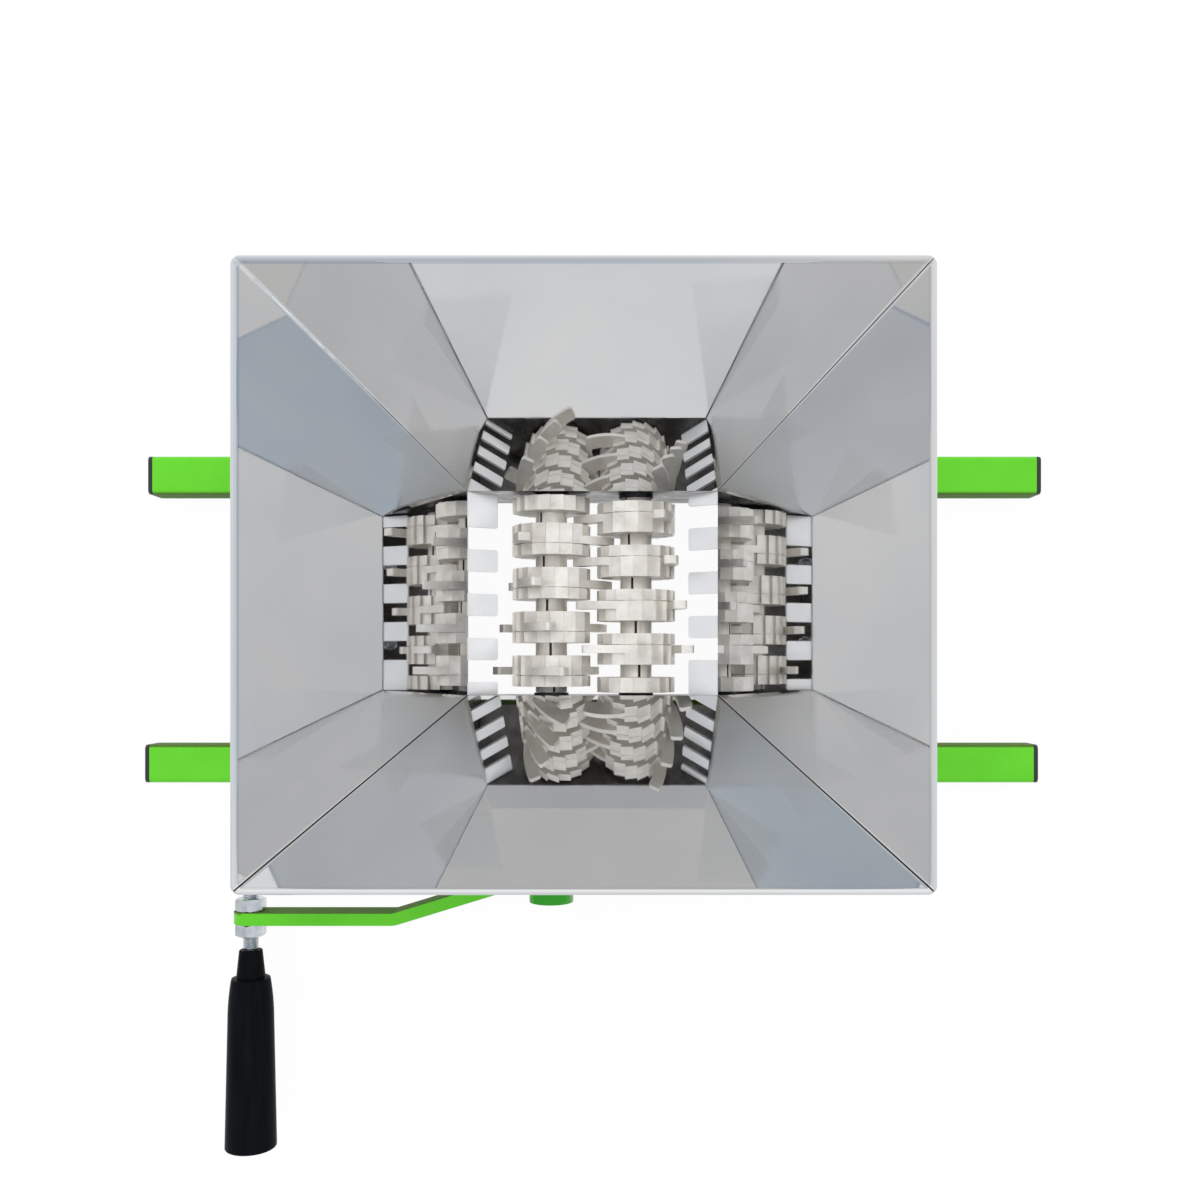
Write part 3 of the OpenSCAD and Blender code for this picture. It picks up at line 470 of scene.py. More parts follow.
mouldedValues = {
    "tone": (0.012, 0.013, 0.015),
    "scuffed": (0.024, 0.025, 0.028),
    "scuffs": (0.006, 5, 0.65),
    "scuffSpan": (0.5, 0.75),
    "rough": (0.36, 0.52),
    "grain": (0.0007, 2),
    "grainDepth": 0.00003,
}


def makeMouldedPlastic():
    v = mouldedValues
    material, tree, shader, place = startMaterial("mouldedPlastic")
    scuffs = addNoise(tree, place, *v["scuffs"])
    tint(tree, shader, blendTones(tree, scuffs, v["tone"], v["scuffed"], v["scuffSpan"]))
    roughen(tree, shader, addRange(tree, scuffs, *v["rough"]))
    addBump(tree, shader, addNoise(tree, place, *v["grain"]), v["grainDepth"])
    return material


gripValues = {
    "tone": (0.0035, 0.0043, 0.0055),
    "rubbed": (0.006, 0.007, 0.009),
    "rubs": (0.004, 4, 0.6),
    "rubStretch": (1, 0.07, 1),
    "rubSpan": (0.45, 0.75),
    "specular": 0.02,
    "rough": (0.3, 0.42),
    "grain": (0.0008, 2),
    "grainDepth": 0.00002,
}


def makeGripPlastic():
    v = gripValues
    material, tree, shader, place = startMaterial("gripPlastic")
    shader.inputs["Specular IOR Level"].default_value = v["specular"]
    rubs = addNoise(tree, stretchPlace(tree, place, v["rubStretch"]), *v["rubs"])
    tint(tree, shader, blendTones(tree, rubs, v["tone"], v["rubbed"], v["rubSpan"]))
    roughen(tree, shader, addRange(tree, rubs, *v["rough"]))
    addBump(tree, shader, addNoise(tree, place, *v["grain"]), v["grainDepth"])
    return material


seamValues = {
    # Each corner's joint: tone at the top, tone at the foot and how metallic it is. The tones follow how
    # light falls: a painted highlight at the rear left, painted shade at the front corners
    "paintedCornerTones": [
        ((0.17, 0.175, 0.18), (0.20, 0.205, 0.21), 1.0),  # rear right
        ((0.95, 0.96, 0.98), (0.34, 0.35, 0.36), 0.15),  # rear left
        ((0.05, 0.044, 0.038), (0.05, 0.044, 0.038), 1.0),  # front left
        ((0.045, 0.04, 0.035), (0.045, 0.04, 0.035), 1.0),  # front right
    ],
    "fade": (0.135, 0.190),
    "burnt": (0.03, 0.028, 0.025),
    "burntShare": 0.4,
    "scorch": (0.01, 4),
    "rough": (0.3, 0.5),
}


def makeSeamShade(number, topTone, footTone, metal):
    # The joint between two sheets deep in a narrow groove: a tone per corner that is painted highlight
    # or painted shade, fading with height, with scorched patches
    v = seamValues
    material, tree, shader, place = startMaterial(f"seamShade{number}", metal)
    scorch = addNoise(tree, place, *v["scorch"])
    height = addRange(tree, splitPlace(tree, place)[2], 0, 1, *v["fade"], True)
    # Painted highlight or painted shade per corner, from the foot tone to the top tone
    tone = addMix(tree, height, footTone, topTone)
    tint(tree, shader, addMix(tree, addRange(tree, scorch, 0, v["burntShare"]), tone, v["burnt"]))
    roughen(tree, shader, addRange(tree, scorch, *v["rough"]))
    return material


weldSteelValues = {
    "ground": (0.52, 0.50, 0.47),
    "blued": (0.30, 0.27, 0.30),
    "heat": (0.004, 4),
    "rough": (0.3, 0.48),
    "grain": (0.0008, 2),
    "grainDepth": 0.00004,
}


def makeWeldSteel():
    v = weldSteelValues
    material, tree, shader, place = startMaterial("weldSteel", 1)
    heat = addNoise(tree, place, *v["heat"])
    tint(tree, shader, addMix(tree, heat, v["ground"], v["blued"]))
    roughen(tree, shader, addRange(tree, heat, *v["rough"]))
    addBump(tree, shader, addNoise(tree, place, *v["grain"]), v["grainDepth"])
    return material


finishes = {
    "hopper_steel": makeHopperSteel(),
    "comb_steel": makeCombSteel(),
    "plate_steel": makeShadedPlateSteel(),
    "sheet_steel": makeSheetSteel(),
    "dark_paint": makeDarkPaint(),
    "green_paint": makeGreenPaint("greenPaint", "tone", "deep"),
    # The hub takes the darker copy of the green paint, as painted shade
    "shaded_hub_paint": makeGreenPaint("shadedHubPaint", "shadedHubTone", "shadedHubDeep"),
    "black_plastic": makeMouldedPlastic(),
    "zinc_plate": makeZincPlate(),
    "shaft_steel": makeShaftSteel(),
    "cast_aluminium": makeCastAluminium(),
    "grip_plastic": makeGripPlastic(),
    "weld_steel": makeWeldSteel(),
}
seamShades = [makeSeamShade(number, *corner) for number, corner in enumerate(seamValues["paintedCornerTones"])]
print("finishes ready:", len(finishes) + len(seamShades))


# Camera and studio, in metres

cameraValues = {
    "place": (0.020, -0.0412, 0.825),
    "lens": 36.48,
    "sensor": 36,
    "shiftX": -0.0208,
    "shiftY": 0.0504,
}


def addCamera():
    v = cameraValues
    data = bpy.data.cameras.new("overheadCamera")
    data.lens = v["lens"]
    data.sensor_width = v["sensor"]
    data.shift_x = v["shiftX"]
    data.shift_y = v["shiftY"]
    camera = bpy.data.objects.new("overheadCamera", data)
    camera.location = v["place"]
    bpy.context.scene.collection.objects.link(camera)
    bpy.context.scene.camera = camera


floorValues = {
    "half": 4.0,
    "tone": (0.92, 0.92, 0.92),
    "rough": 0.9,
    "specular": 0.1,
    # How far the floor is plain white to the camera; the rest shows its real shade and shadows
    "whiteShare": 0.95,
}


def makeFloorPaper():
    v = floorValues
    material = bpy.data.materials.new("paleFloor")
    material.use_nodes = True
    tree = material.node_tree
    shader = tree.nodes["Principled BSDF"]
    shader.inputs["Base Color"].default_value = (*v["tone"], 1)
    shader.inputs["Roughness"].default_value = v["rough"]
    shader.inputs["Specular IOR Level"].default_value = v["specular"]
    glow = tree.nodes.new("ShaderNodeEmission")
    rays = tree.nodes.new("ShaderNodeLightPath").outputs
    seen = rays["Is Camera Ray"]
    for other in ("Is Glossy Ray", "Is Transmission Ray"):
        seen = addMath(tree, "MAXIMUM", seen, rays[other])
    mix = tree.nodes.new("ShaderNodeMixShader")
    tree.links.new(addMath(tree, "MULTIPLY", seen, v["whiteShare"]), mix.inputs[0])
    tree.links.new(shader.outputs[0], mix.inputs[1])
    tree.links.new(glow.outputs[0], mix.inputs[2])
    tree.links.new(mix.outputs[0], tree.nodes["Material Output"].inputs["Surface"])
    return material


def addFloor():
    half = floorValues["half"]
    paintedCornerTones = [(-half, -half, 0), (half, -half, 0), (half, half, 0), (-half, half, 0)]
    mesh = bpy.data.meshes.new("paleFloor")
    mesh.from_pydata(paintedCornerTones, [], [(0, 1, 2, 3)])
    floor = bpy.data.objects.new("paleFloor", mesh)
    bpy.context.scene.collection.objects.link(floor)
    floor.data.materials.append(makeFloorPaper())


skyValues = {
    "tone": (0.92, 0.92, 0.925),
    # How much brighter the dome gets toward +X and +Y
    "tilt": (0.04, 0.30, 0.0),
    "shades": [
        # direction, half width in degrees, tone that multiplies the sky there
        ((-0.43, -0.34, 0.84), 26, (0.98, 1.09, 1.19)),
        ((0.45, -0.38, 0.80), 24, (1.12, 1.16, 1.20)),
        ((0.0, -0.90, 0.44), 45, (1.16, 1.15, 1.13)),
    ],
    # A patch of tone is full within this part of its width
    "fullPart": 0.35,
}


def addSky():
    # A pale dome, brighter toward the far side, with soft patches of other tones
    v = skyValues
    world = bpy.data.worlds.new("softDome")
    bpy.context.scene.world = world
    world.use_nodes = True
    tree = world.node_tree
    back = tree.nodes["Background"]
    place = tree.nodes.new("ShaderNodeTexCoord").outputs["Generated"]
    tone = v["tone"]
    for direction, halfWidth, shade in v["shades"]:
        near = addDot(tree, place, Vector(direction).normalized())
        edge = math.cos(math.radians(halfWidth))
        share = addRange(tree, near, 0, 1, edge, 1 - (1 - edge) * v["fullPart"], True)
        tone = addMix(tree, share, tone, addMix(tree, 1.0, tone, shade, "MULTIPLY"))
    strength = addMath(tree, "ADD", addDot(tree, place, v["tilt"]), 1.0)
    tree.links.new(tone, back.inputs["Color"])
    tree.links.new(strength, back.inputs["Strength"])


lampValues = {
    "aim": (0, 0, 0.1),
    "lamps": [
        # name, place, side of the square, watts
        ("keyLamp", (0.20, 0.55, 1.95), 0.5, 10),
        ("fillLamp", (-0.45, 0.05, 2.0), 0.7, 7),
    ],
}


def addLamps():
    v = lampValues
    for name, place, side, watts in v["lamps"]:
        data = bpy.data.lights.new(name, "AREA")
        data.shape = "RECTANGLE"
        data.size = side
        data.size_y = side
        data.energy = watts
        lamp = bpy.data.objects.new(name, data)
        lamp.location = place
        lamp.visible_glossy = False
        toward = Vector(v["aim"]) - Vector(place)
        lamp.rotation_euler = toward.to_track_quat("-Z", "Y").to_euler()
        bpy.context.scene.collection.objects.link(lamp)


addCamera()
addFloor()
addSky()
addLamps()
bpy.context.scene.view_settings.view_transform = "Standard"
print("camera, floor and lamps ready")


# Helpers for pieces

def finishPiece(name, bm, finish, body, replaced=(), sharpAngle=30):
    bmesh.ops.recalc_face_normals(bm, faces=bm.faces)
    mesh = bpy.data.meshes.new(name)
    bm.to_mesh(mesh)
    bm.free()
    mesh.polygons.foreach_set("use_smooth", [True] * len(mesh.polygons))
    mesh.set_sharp_from_angle(angle=math.radians(sharpAngle))
    mesh.materials.append(finishes[finish])
    piece = bpy.data.objects.new(name, mesh)
    bpy.context.scene.collection.objects.link(piece)
    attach(piece, body)
    if replaced:
        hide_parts(*replaced)
    return piece


def finishZinc(name, bm, body, replaced):
    return finishPiece(name, bm, "zinc_plate", body, (replaced,))


def addRings(bm, rings, closed=False):
    # Each ring is a list of points; neighbours are joined by quads, and an open run gets end faces
    rows = [[bm.verts.new(p) for p in ring] for ring in rings]
    count = len(rows[0])
    pairs = list(zip(rows, rows[1:]))
    if closed:
        pairs.append((rows[-1], rows[0]))
    for low, high in pairs:
        for k in range(count):
            n = (k + 1) % count
            bm.faces.new((low[k], low[n], high[n], high[k]))
    if not closed:
        bm.faces.new(rows[0])
        bm.faces.new(list(reversed(rows[-1])))


def placeAlong(start, direction):
    # Local Z runs along the direction from the start point, which is given in millimetres
    turn = Vector((0, 0, 1)).rotation_difference(Vector(direction).normalized())
    return Matrix.Translation(Vector(start) * mm) @ turn.to_matrix().to_4x4()


def ringPoints(place, radii, angles, heights):
    # Radii and heights are lists as long as the angles, in millimetres
    return [
        place @ (Vector((r * math.cos(a), r * math.sin(a), z)) * mm)
        for r, a, z in zip(radii, angles, heights)
    ]


def arcPoints(centre, radius, fromAngle, toAngle, steps):
    points = []
    for k in range(steps + 1):
        a = math.radians(fromAngle + (toAngle - fromAngle) * k / steps)
        points.append((centre[0] + radius * math.cos(a), centre[1] + radius * math.sin(a)))
    return points


def fullTurn(sides, start=0.0):
    return [math.tau * k / sides + start for k in range(sides)]


def hexRadius(angle, flats):
    inside = (angle + math.pi / 6) % (math.pi / 3) - math.pi / 6
    return flats / 2 / math.cos(inside)


hexShape = {
    "faceShare": 0.97,  # the flat face's width as a share of the width across flats
    "chamfer": 30,
    "pointsPerSide": 6,
    "sinkShare": 0.06,  # countersink of the hole, as a share of the width across flats
}


def addHexBody(bm, place, flats, height, hole=0.0, lowChamfer=True):
    # A turned chamfer cuts the corners of the hexagon on one face or on both
    v = hexShape
    angles = fullTurn(6 * v["pointsPerSide"], math.pi / 6)
    radii = [hexRadius(a, flats) for a in angles]
    faceR = flats / 2 * v["faceShare"]
    dips = [(r - faceR) * math.tan(math.radians(v["chamfer"])) for r in radii]
    def level(radius, z):
        return ringPoints(place, [radius] * len(angles), angles, [z] * len(angles))
    def hexLevel(z, sign):
        return ringPoints(place, radii, angles, [z + sign * dip for dip in dips])
    low = [level(faceR, 0), hexLevel(0, 1)] if lowChamfer else [hexLevel(0, 0)]
    rings = low + [hexLevel(height, -1), level(faceR, height)]
    if hole:
        sink = v["sinkShare"] * flats
        rings = [level(hole / 2, sink), level(hole / 2 + sink, 0)] + rings
        rings += [level(hole / 2 + sink, height), level(hole / 2, height - sink)]
    addRings(bm, rings, closed=bool(hole))


threadShape = {
    "depth": 0.55,  # share of the pitch
    "crest": 1.25,
    "flank": 2.6,
    "entry": 0.9,  # how fast the thread's ends rise to full depth
}


def addThread(bm, place, diameter, pitch, length, steps, sides):
    # The ridge winds round the rod: its height follows the angle and the place along the axis
    v = threadShape
    root = diameter / 2 - v["depth"] * pitch
    count = max(2, int(length / pitch * steps))
    angles = fullTurn(sides)
    rings = []
    for j in range(count + 1):
        z = length * j / count
        entry = min(z, length - z) * v["entry"]
        radii = []
        for k in range(sides):
            share = (z / pitch + k / sides) % 1
            ridge = min(1, max(0, v["crest"] - v["flank"] * abs(share - 0.5)))
            radii.append(root + min(ridge * v["depth"] * pitch, entry))
        rings.append(ringPoints(place, radii, angles, [z] * sides))
    addRings(bm, rings)


def addTurned(bm, place, profile, sides, closed=False):
    # profile is a list of radius and height along the axis
    angles = fullTurn(sides)
    rings = [ringPoints(place, [r] * sides, angles, [z] * sides) for r, z in profile]
    addRings(bm, rings, closed)


# CAD nodes that keep their shape: a finish, and a small rounding along their edges

roundingValues = {
    # Width of the rounding, and the words that its nodes' names hold
    "widths": {
        0.2: ["drive_gear", "driven_gear"],
        0.25: ["comb", "bracket", "gear_lid"],
        0.3: ["side_plate"],
        0.35: ["gear_plate", "disc", "cutter"],
        0.4: ["rear_plate", "front_plate"],
        0.7: ["cap"],
        0.8: ["crank_arm"],
        0.9: ["crank_hub"],
    },
    "weldDistance": 0.000002,
    "flatAngle": 0.5,
    "edgeAngle": 28,
    "segments": 2,
}

# The first finish of which a word is in the node's name; so the hopper's brackets and bolts come first
finishWords = {
    "comb_steel": ["comb"],
    "plate_steel": ["rear_plate", "front_plate", "side_plate"],
    "sheet_steel": ["bracket", "gear_lid"],
    "dark_paint": ["gear_plate"],
    "green_paint": ["rear_rail", "front_rail", "crank_arm"],
    "shaded_hub_paint": ["crank_hub"],
    "black_plastic": ["cap", "bush"],
    "zinc_plate": ["bolt", "nut", "screw", "stud"],
    "cast_aluminium": ["cutter", "disc"],
    "shaft_steel": ["shaft", "gear", "key", "ring"],
    "grip_plastic": ["handle_grip"],
    "hopper_steel": ["hopper"],
}


def pickByWord(name, groups, otherwise):
    for key, words in groups.items():
        if any(word in name for word in words):
            return key
    return otherwise


def roundEdges(node, width):
    v = roundingValues
    weld = node.modifiers.new("joinSplitEdges", "WELD")
    weld.merge_threshold = v["weldDistance"]
    flatten = node.modifiers.new("joinFlatFaces", "DECIMATE")
    flatten.decimate_type = "DISSOLVE"
    flatten.angle_limit = math.radians(v["flatAngle"])
    bevel = node.modifiers.new("roundedEdges", "BEVEL")
    bevel.width = width * mm
    bevel.segments = v["segments"]
    bevel.limit_method = "ANGLE"
    bevel.angle_limit = math.radians(v["edgeAngle"])
    bevel.use_clamp_overlap = True
    bevel.harden_normals = True


def dressNodes():
    for name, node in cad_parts.items():
        node.data.materials.clear()
        node.data.materials.append(finishes[pickByWord(name, finishWords, "sheet_steel")])
        width = pickByWord(name, roundingValues["widths"], 0)
        if width:
            roundEdges(node, width)


dressNodes()
print("CAD nodes dressed")


# Hopper: flat walls, a groove where two sheets meet and a folded hem

hopperValues = {
    "throatHalf": (77.2, 63.025),
    "sheet": 1.2,
    "footEdge": 0.25,
    "hemWidth": 2.6,
    "hemHeight": 9.0,
    "hemFootRound": 0.6,
    "hemFootSteps": 3,
    "hemSteps": 9,
    "hemInset": 0.9,  # the wall goes into the hem this far above the hem's foot
    "throatRound": 0.9,
    "mouthRound": 2.4,
    # Groove of each corner: rear right, rear left, front left, front right
    "grooveWidths": (0.5, 0.7, 0.8, 0.8),
    "grooveDepth": 0.45,
    "grooveTop": 0.8,  # the groove ends this far below the hem's round
    "grooveMost": 0.55,  # share of the corner's radius that half a groove may take
    "mitreDepth": 1.0,
    "cornerSteps": 4,
    "sharpAngle": 32,
}
hopperLow, hopperHigh = nodeBox("hopper")
mouthHalf = [hopperHigh[axis] - hopperValues["hemWidth"] for axis in (0, 1)]
throatZ, rimZ = hopperLow.z, hopperHigh.z
cornerPoints = 2 * hopperValues["cornerSteps"] + 3
hopperLean = (mouthHalf[0] - hopperValues["throatHalf"][0]) / (rimZ - throatZ)


def hopperRing(height, outward, groove):
    # One level outline; each corner has its arc with the groove's three points in the middle
    v = hopperValues
    share = max(0.0, (height - throatZ) / (rimZ - throatZ))
    halfX, halfY = [
        foot + (mouth - foot) * share + outward for foot, mouth in zip(v["throatHalf"], mouthHalf)
    ]
    radius = v["throatRound"] + (v["mouthRound"] - v["throatRound"]) * share + max(outward, 0)
    steps = v["cornerSteps"]
    points = []
    for quarter, (signX, signY) in enumerate([(1, 1), (-1, 1), (-1, -1), (1, -1)]):
        centre = Vector((signX * (halfX - radius), signY * (halfY - radius)))
        slot = math.degrees(math.asin(min(v["grooveMost"], v["grooveWidths"][quarter] / 2 / radius)))
        before = [((45 - slot) * k / steps, radius) for k in range(steps + 1)]
        after = [(90 - angle, r) for angle, r in reversed(before)]
        for angle, r in before + [(45, radius + groove)] + after:
            a = math.radians(90 * quarter + angle)
            points.append((centre + r * Vector((math.cos(a), math.sin(a)))).to_3d())
    return [Vector((p.x * mm, p.y * mm, height * mm)) for p in points]


def hopperLevels():
    # Height, distance outward from the wall's inner face, and depth of the corner's groove
    v = hopperValues
    wall = v["sheet"] * math.sqrt(1 + hopperLean * hopperLean)
    edge, lip, hemR = v["footEdge"], v["hemFootRound"], v["hemWidth"] / 2
    foot = rimZ - v["hemHeight"]
    levels = [
        (throatZ + edge, 0.0, v["grooveDepth"]),
        (throatZ, edge, 0.0),
        (throatZ, wall - edge, 0.0),
        (throatZ + edge, wall, 0.0),
        (foot + v["hemInset"], wall, 0.0),
    ]
    for out, height in arcPoints((v["hemWidth"] - lip, foot + lip), lip, -90, 0, v["hemFootSteps"]):
        levels.append((height, out, 0.0))
    for out, height in arcPoints((hemR, rimZ - hemR), hemR, 0, 180, v["hemSteps"]):
        # The mitre of the fold is deepest on its crest
        mitre = v["mitreDepth"] * (height - rimZ + hemR) / hemR
        levels.append((height, out, -mitre))
    levels.append((rimZ - hemR - v["grooveTop"], 0.0, v["grooveDepth"]))
    return levels


def shadeGrooves(bm, levels):
    # The faces of the inner grooves and of the hem's mitres get their corner's own shade
    steps = hopperValues["cornerSteps"]
    inner = len(levels) - 1
    for index, face in enumerate(bm.faces):
        ring, k = divmod(index, 4 * cornerPoints)
        corner, point = divmod(k, cornerPoints)
        deepest = min(levels[ring][2], levels[(ring + 1) % len(levels)][2])
        onMitre = round(deepest, 3) < 0
        if point in (steps, steps + 1) and (ring >= inner - 1 or onMitre):
            face.material_index = 1 + corner


def flatSheets(faceCount, levels):
    # The big sloping faces: outside they start at the fourth level, and inside at the last one
    return [
        index for index in range(faceCount)
        if index % cornerPoints == cornerPoints - 1
        and index // (4 * cornerPoints) in (3, len(levels) - 1)
    ]


def buildHopper():
    levels = hopperLevels()
    bm = bmesh.new()
    addRings(bm, [hopperRing(*level) for level in levels], closed=True)
    shadeGrooves(bm, levels)
    sheets = flatSheets(len(bm.faces), levels)
    angle = hopperValues["sharpAngle"]
    piece = finishPiece("hopperShell", bm, "hopper_steel", "frame", ("hopper",), angle)
    for shade in seamShades:
        piece.data.materials.append(shade)
    # The big sloping sheets stay truly flat, so that they mirror without a bend
    for index in sheets:
        piece.data.polygons[index].use_smooth = False


buildHopper()
print("hopper built")


# Grip stud, its nuts and the lock nut in the grip's end

studValues = {
    "thick": 10.0,
    "thickLength": 35.6,
    "thickPitch": 1.5,
    "thickSides": 36,
    "thin": 8.0,
    "thinPitch": 1.25,
    "thinSides": 32,
    "threadSteps": 6,
    "tipThread": 12.0,
    "nutHeight": 8.0,
    # Lock nut: how much of its height is hexagon; then the collar's radii, each at a share of the height
    "hexShare": 0.7,
    "collar": ((5.6, 0.65), (5.4, 0.9), (4.9, 1.0)),
    "sides": 36,
}
towardFront = (0, -1, 0)
studLow, studHigh = nodeBox("grip_stud")
studX, _, studZ = (studLow + studHigh) / 2


def studPlace(y):
    return placeAlong((studX, y, studZ), towardFront)


def buildStud():
    v = studValues
    shoulder = studHigh.y - v["thickLength"]
    tipStart = studLow.y + v["tipThread"]
    bm = bmesh.new()
    thick = (v["thick"], v["thickPitch"], v["thickLength"], v["threadSteps"], v["thickSides"])
    addThread(bm, studPlace(studHigh.y), *thick)
    smooth = [(v["thin"] / 2, 0.0), (v["thin"] / 2, shoulder - tipStart)]
    addTurned(bm, studPlace(shoulder), smooth, v["sides"])
    thin = (v["thin"], v["thinPitch"], v["tipThread"], v["threadSteps"], v["thinSides"])
    addThread(bm, studPlace(tipStart), *thin)
    finishZinc("gripStudThread", bm, "drive_roller", "grip_stud")


def buildArmNuts():
    v = studValues
    low, high = nodeBox("stud_nuts")
    bm = bmesh.new()
    for rear in (high.y, low.y + v["nutHeight"]):
        addHexBody(bm, studPlace(rear), high.z - low.z, v["nutHeight"], v["thick"])
    finishZinc("armNuts", bm, "drive_roller", "stud_nuts")


def buildLockNut():
    v = studValues
    low, high = nodeBox("spindle_nut")
    height, inner = high.y - low.y, v["thin"] / 2
    place = studPlace(high.y)
    bm = bmesh.new()
    addHexBody(bm, place, high.z - low.z, height * v["hexShare"], v["thin"])
    collar = [(radius, share * height) for radius, share in v["collar"]]
    profile = [(inner, collar[0][1])] + collar + [(inner, height)]
    addTurned(bm, place, profile, v["sides"], closed=True)
    finishZinc("gripLockNut", bm, "drive_roller", "spindle_nut")


buildStud()
buildArmNuts()
buildLockNut()
print("stud and nuts built")


# Grip, turned from black plastic: radii, and lengths from its rear end

gripShape = {
    "hole": 4.05,
    "neckStart": 7.3,
    "neckRound": 0.9,
    "neckSteps": 4,
    "neckEnd": 9.15,
    "neckBevel": (0.2, 0.3),
    "neck": 17.0,
    "groove": 1.0,
    "grooveDrop": 0.5,
    "grooveLip": 0.1,
    "shoulder": 12.1,
    "shoulderRound": 0.5,
    "shoulderMiddle": 0.12,
    "shoulderLength": 27.0,
    "swell": 1.9,
    "swellSteps": 12,
    "waist": 14.35,
    "straightSteps": 8,
    "end": 16.1,
    "endRound": 0.9,
    "endSteps": 6,
    "recess": 12.0,
    "recessRadius": 10.0,
    "recessEdge": 0.4,
    "recessFoot": 0.5,
    "sides": 72,
    "sharpAngle": 40,
}


def gripProfile(length):
    v = gripShape
    neckEnd, groundR = v["neckEnd"], v["neckEnd"] - v["grooveDrop"]
    bevelR, bevelZ = v["neckBevel"]
    start = v["neck"] + v["groove"]
    corner, middle = v["shoulderRound"], v["shoulderMiddle"]
    neckCentre = (v["neckStart"] - v["neckRound"], v["neckRound"])
    profile = [(v["hole"], 0)]
    profile += arcPoints(neckCentre, v["neckRound"], -90, 0, v["neckSteps"])
    profile += [(neckEnd - bevelR, v["neck"] - bevelZ), (groundR, v["neck"])]
    profile += [(groundR, start - v["grooveLip"]), (v["shoulder"] - corner, start)]
    profile += [(v["shoulder"] - middle, start + middle), (v["shoulder"], start + corner)]
    swellLength = v["shoulderLength"] - v["groove"]
    for k in range(1, v["swellSteps"] + 1):
        t = k / v["swellSteps"]
        bulge = 1 - (1 - t) ** v["swell"]
        profile.append((v["shoulder"] + (v["waist"] - v["shoulder"]) * bulge, start + swellLength * t))
    straight = length - v["endRound"] - start - swellLength
    for k in range(1, v["straightSteps"] + 1):
        t = k / v["straightSteps"]
        radius = v["waist"] + (v["end"] - v["waist"]) * t
        profile.append((radius, start + swellLength + straight * t))
    roundCentre = (v["end"] - v["endRound"], length - v["endRound"])
    profile += arcPoints(roundCentre, v["endRound"], 0, 90, v["endSteps"])[1:]
    recessR, bottom = v["recessRadius"], length - v["recess"]
    profile += [(recessR + v["recessEdge"], length), (recessR, length - v["recessEdge"])]
    profile += [(recessR, bottom + v["recessFoot"]), (recessR - v["recessFoot"], bottom)]
    profile.append((v["hole"], bottom))
    return profile


def buildGrip():
    v = gripShape
    low, high = nodeBox("handle_grip")
    bm = bmesh.new()
    addTurned(bm, studPlace(high.y), gripProfile(high.y - low.y), v["sides"], closed=True)
    finishPiece(
        "turnedGrip", bm, "grip_plastic", "grip", ("handle_grip",), v["sharpAngle"]
    )


buildGrip()
print("grip built")


# Frame bolts and nuts, and the cross bolt of the hub

boltValues = {
    "diameter": 6.0,
    "flats": 10.0,
    "head": 4.0,
    "nut": 5.0,
    "pitch": 1.0,
    "steps": 5,
    "sides": 20,
    "overlap": 0.5,  # the shank starts this far inside the head
    "railX": 101.5,
    "railReach": 34.5,
    "railDepth": 27.5,
    "bracketReach": 11.0,
    "bracketDepth": 4.0,
    "hubReach": 35.0,
}


def addBolt(bm, start, outward, reach):
    # The head stands outward from the start point, and the threaded shank goes in
    v = boltValues
    out = Vector(outward)
    addHexBody(bm, placeAlong(start, out), v["flats"], v["head"], lowChamfer=False)
    inHead = placeAlong(Vector(start) + out * v["overlap"], -out)
    addThread(bm, inHead, v["diameter"], v["pitch"], reach + v["overlap"], v["steps"], v["sides"])


def addNut(bm, start, outward):
    v = boltValues
    addHexBody(bm, placeAlong(start, outward), v["flats"], v["nut"], v["diameter"])


def buildRailBolts():
    v = boltValues
    bolts, nuts = bmesh.new(), bmesh.new()
    for rail, side in (("rear_rail", 1), ("front_rail", -1)):
        low, high = nodeBox(rail)
        faceY = high.y if side > 0 else low.y
        z = (low.z + high.z) / 2
        for x in (-v["railX"], v["railX"]):
            addBolt(bolts, (x, faceY, z), (0, side, 0), v["railReach"])
            addNut(nuts, (x, faceY - side * v["railDepth"], z), (0, -side, 0))
    finishZinc("railBolts", bolts, "frame", "rail_bolts")
    finishZinc("railNuts", nuts, "frame", "rail_nuts")


def buildBracketBolts():
    v = boltValues
    low, high = nodeBox("hopper_bolts")
    faceX = high.x - v["head"]
    boltY = high.y - v["flats"] / 2
    z = (low.z + high.z) / 2
    bolts, nuts = bmesh.new(), bmesh.new()
    for sign in (-1, 1):
        for y in (-boltY, boltY):
            addBolt(bolts, (sign * faceX, y, z), (sign, 0, 0), v["bracketReach"])
            addNut(nuts, (sign * (faceX - v["bracketDepth"]), y, z), (-sign, 0, 0))
    finishZinc("bracketBolts", bolts, "frame", "hopper_bolts")
    finishZinc("bracketNuts", nuts, "frame", "hopper_nuts")


def buildHubBolt():
    hubLow, hubHigh = nodeBox("crank_hub")
    low, high = nodeBox("hub_bolt")
    x, y, _ = (low + high) / 2
    bolts, nuts = bmesh.new(), bmesh.new()
    addBolt(bolts, (x, y, hubHigh.z), (0, 0, 1), boltValues["hubReach"])
    addNut(nuts, (x, y, hubLow.z), (0, 0, -1))
    finishZinc("hubCrossBolt", bolts, "drive_roller", "hub_bolt")
    finishZinc("hubCrossNut", nuts, "drive_roller", "hub_nut")


buildRailBolts()
buildBracketBolts()
buildHubBolt()
print("bolts built")


# Lid screws: round heads with a hexagonal socket

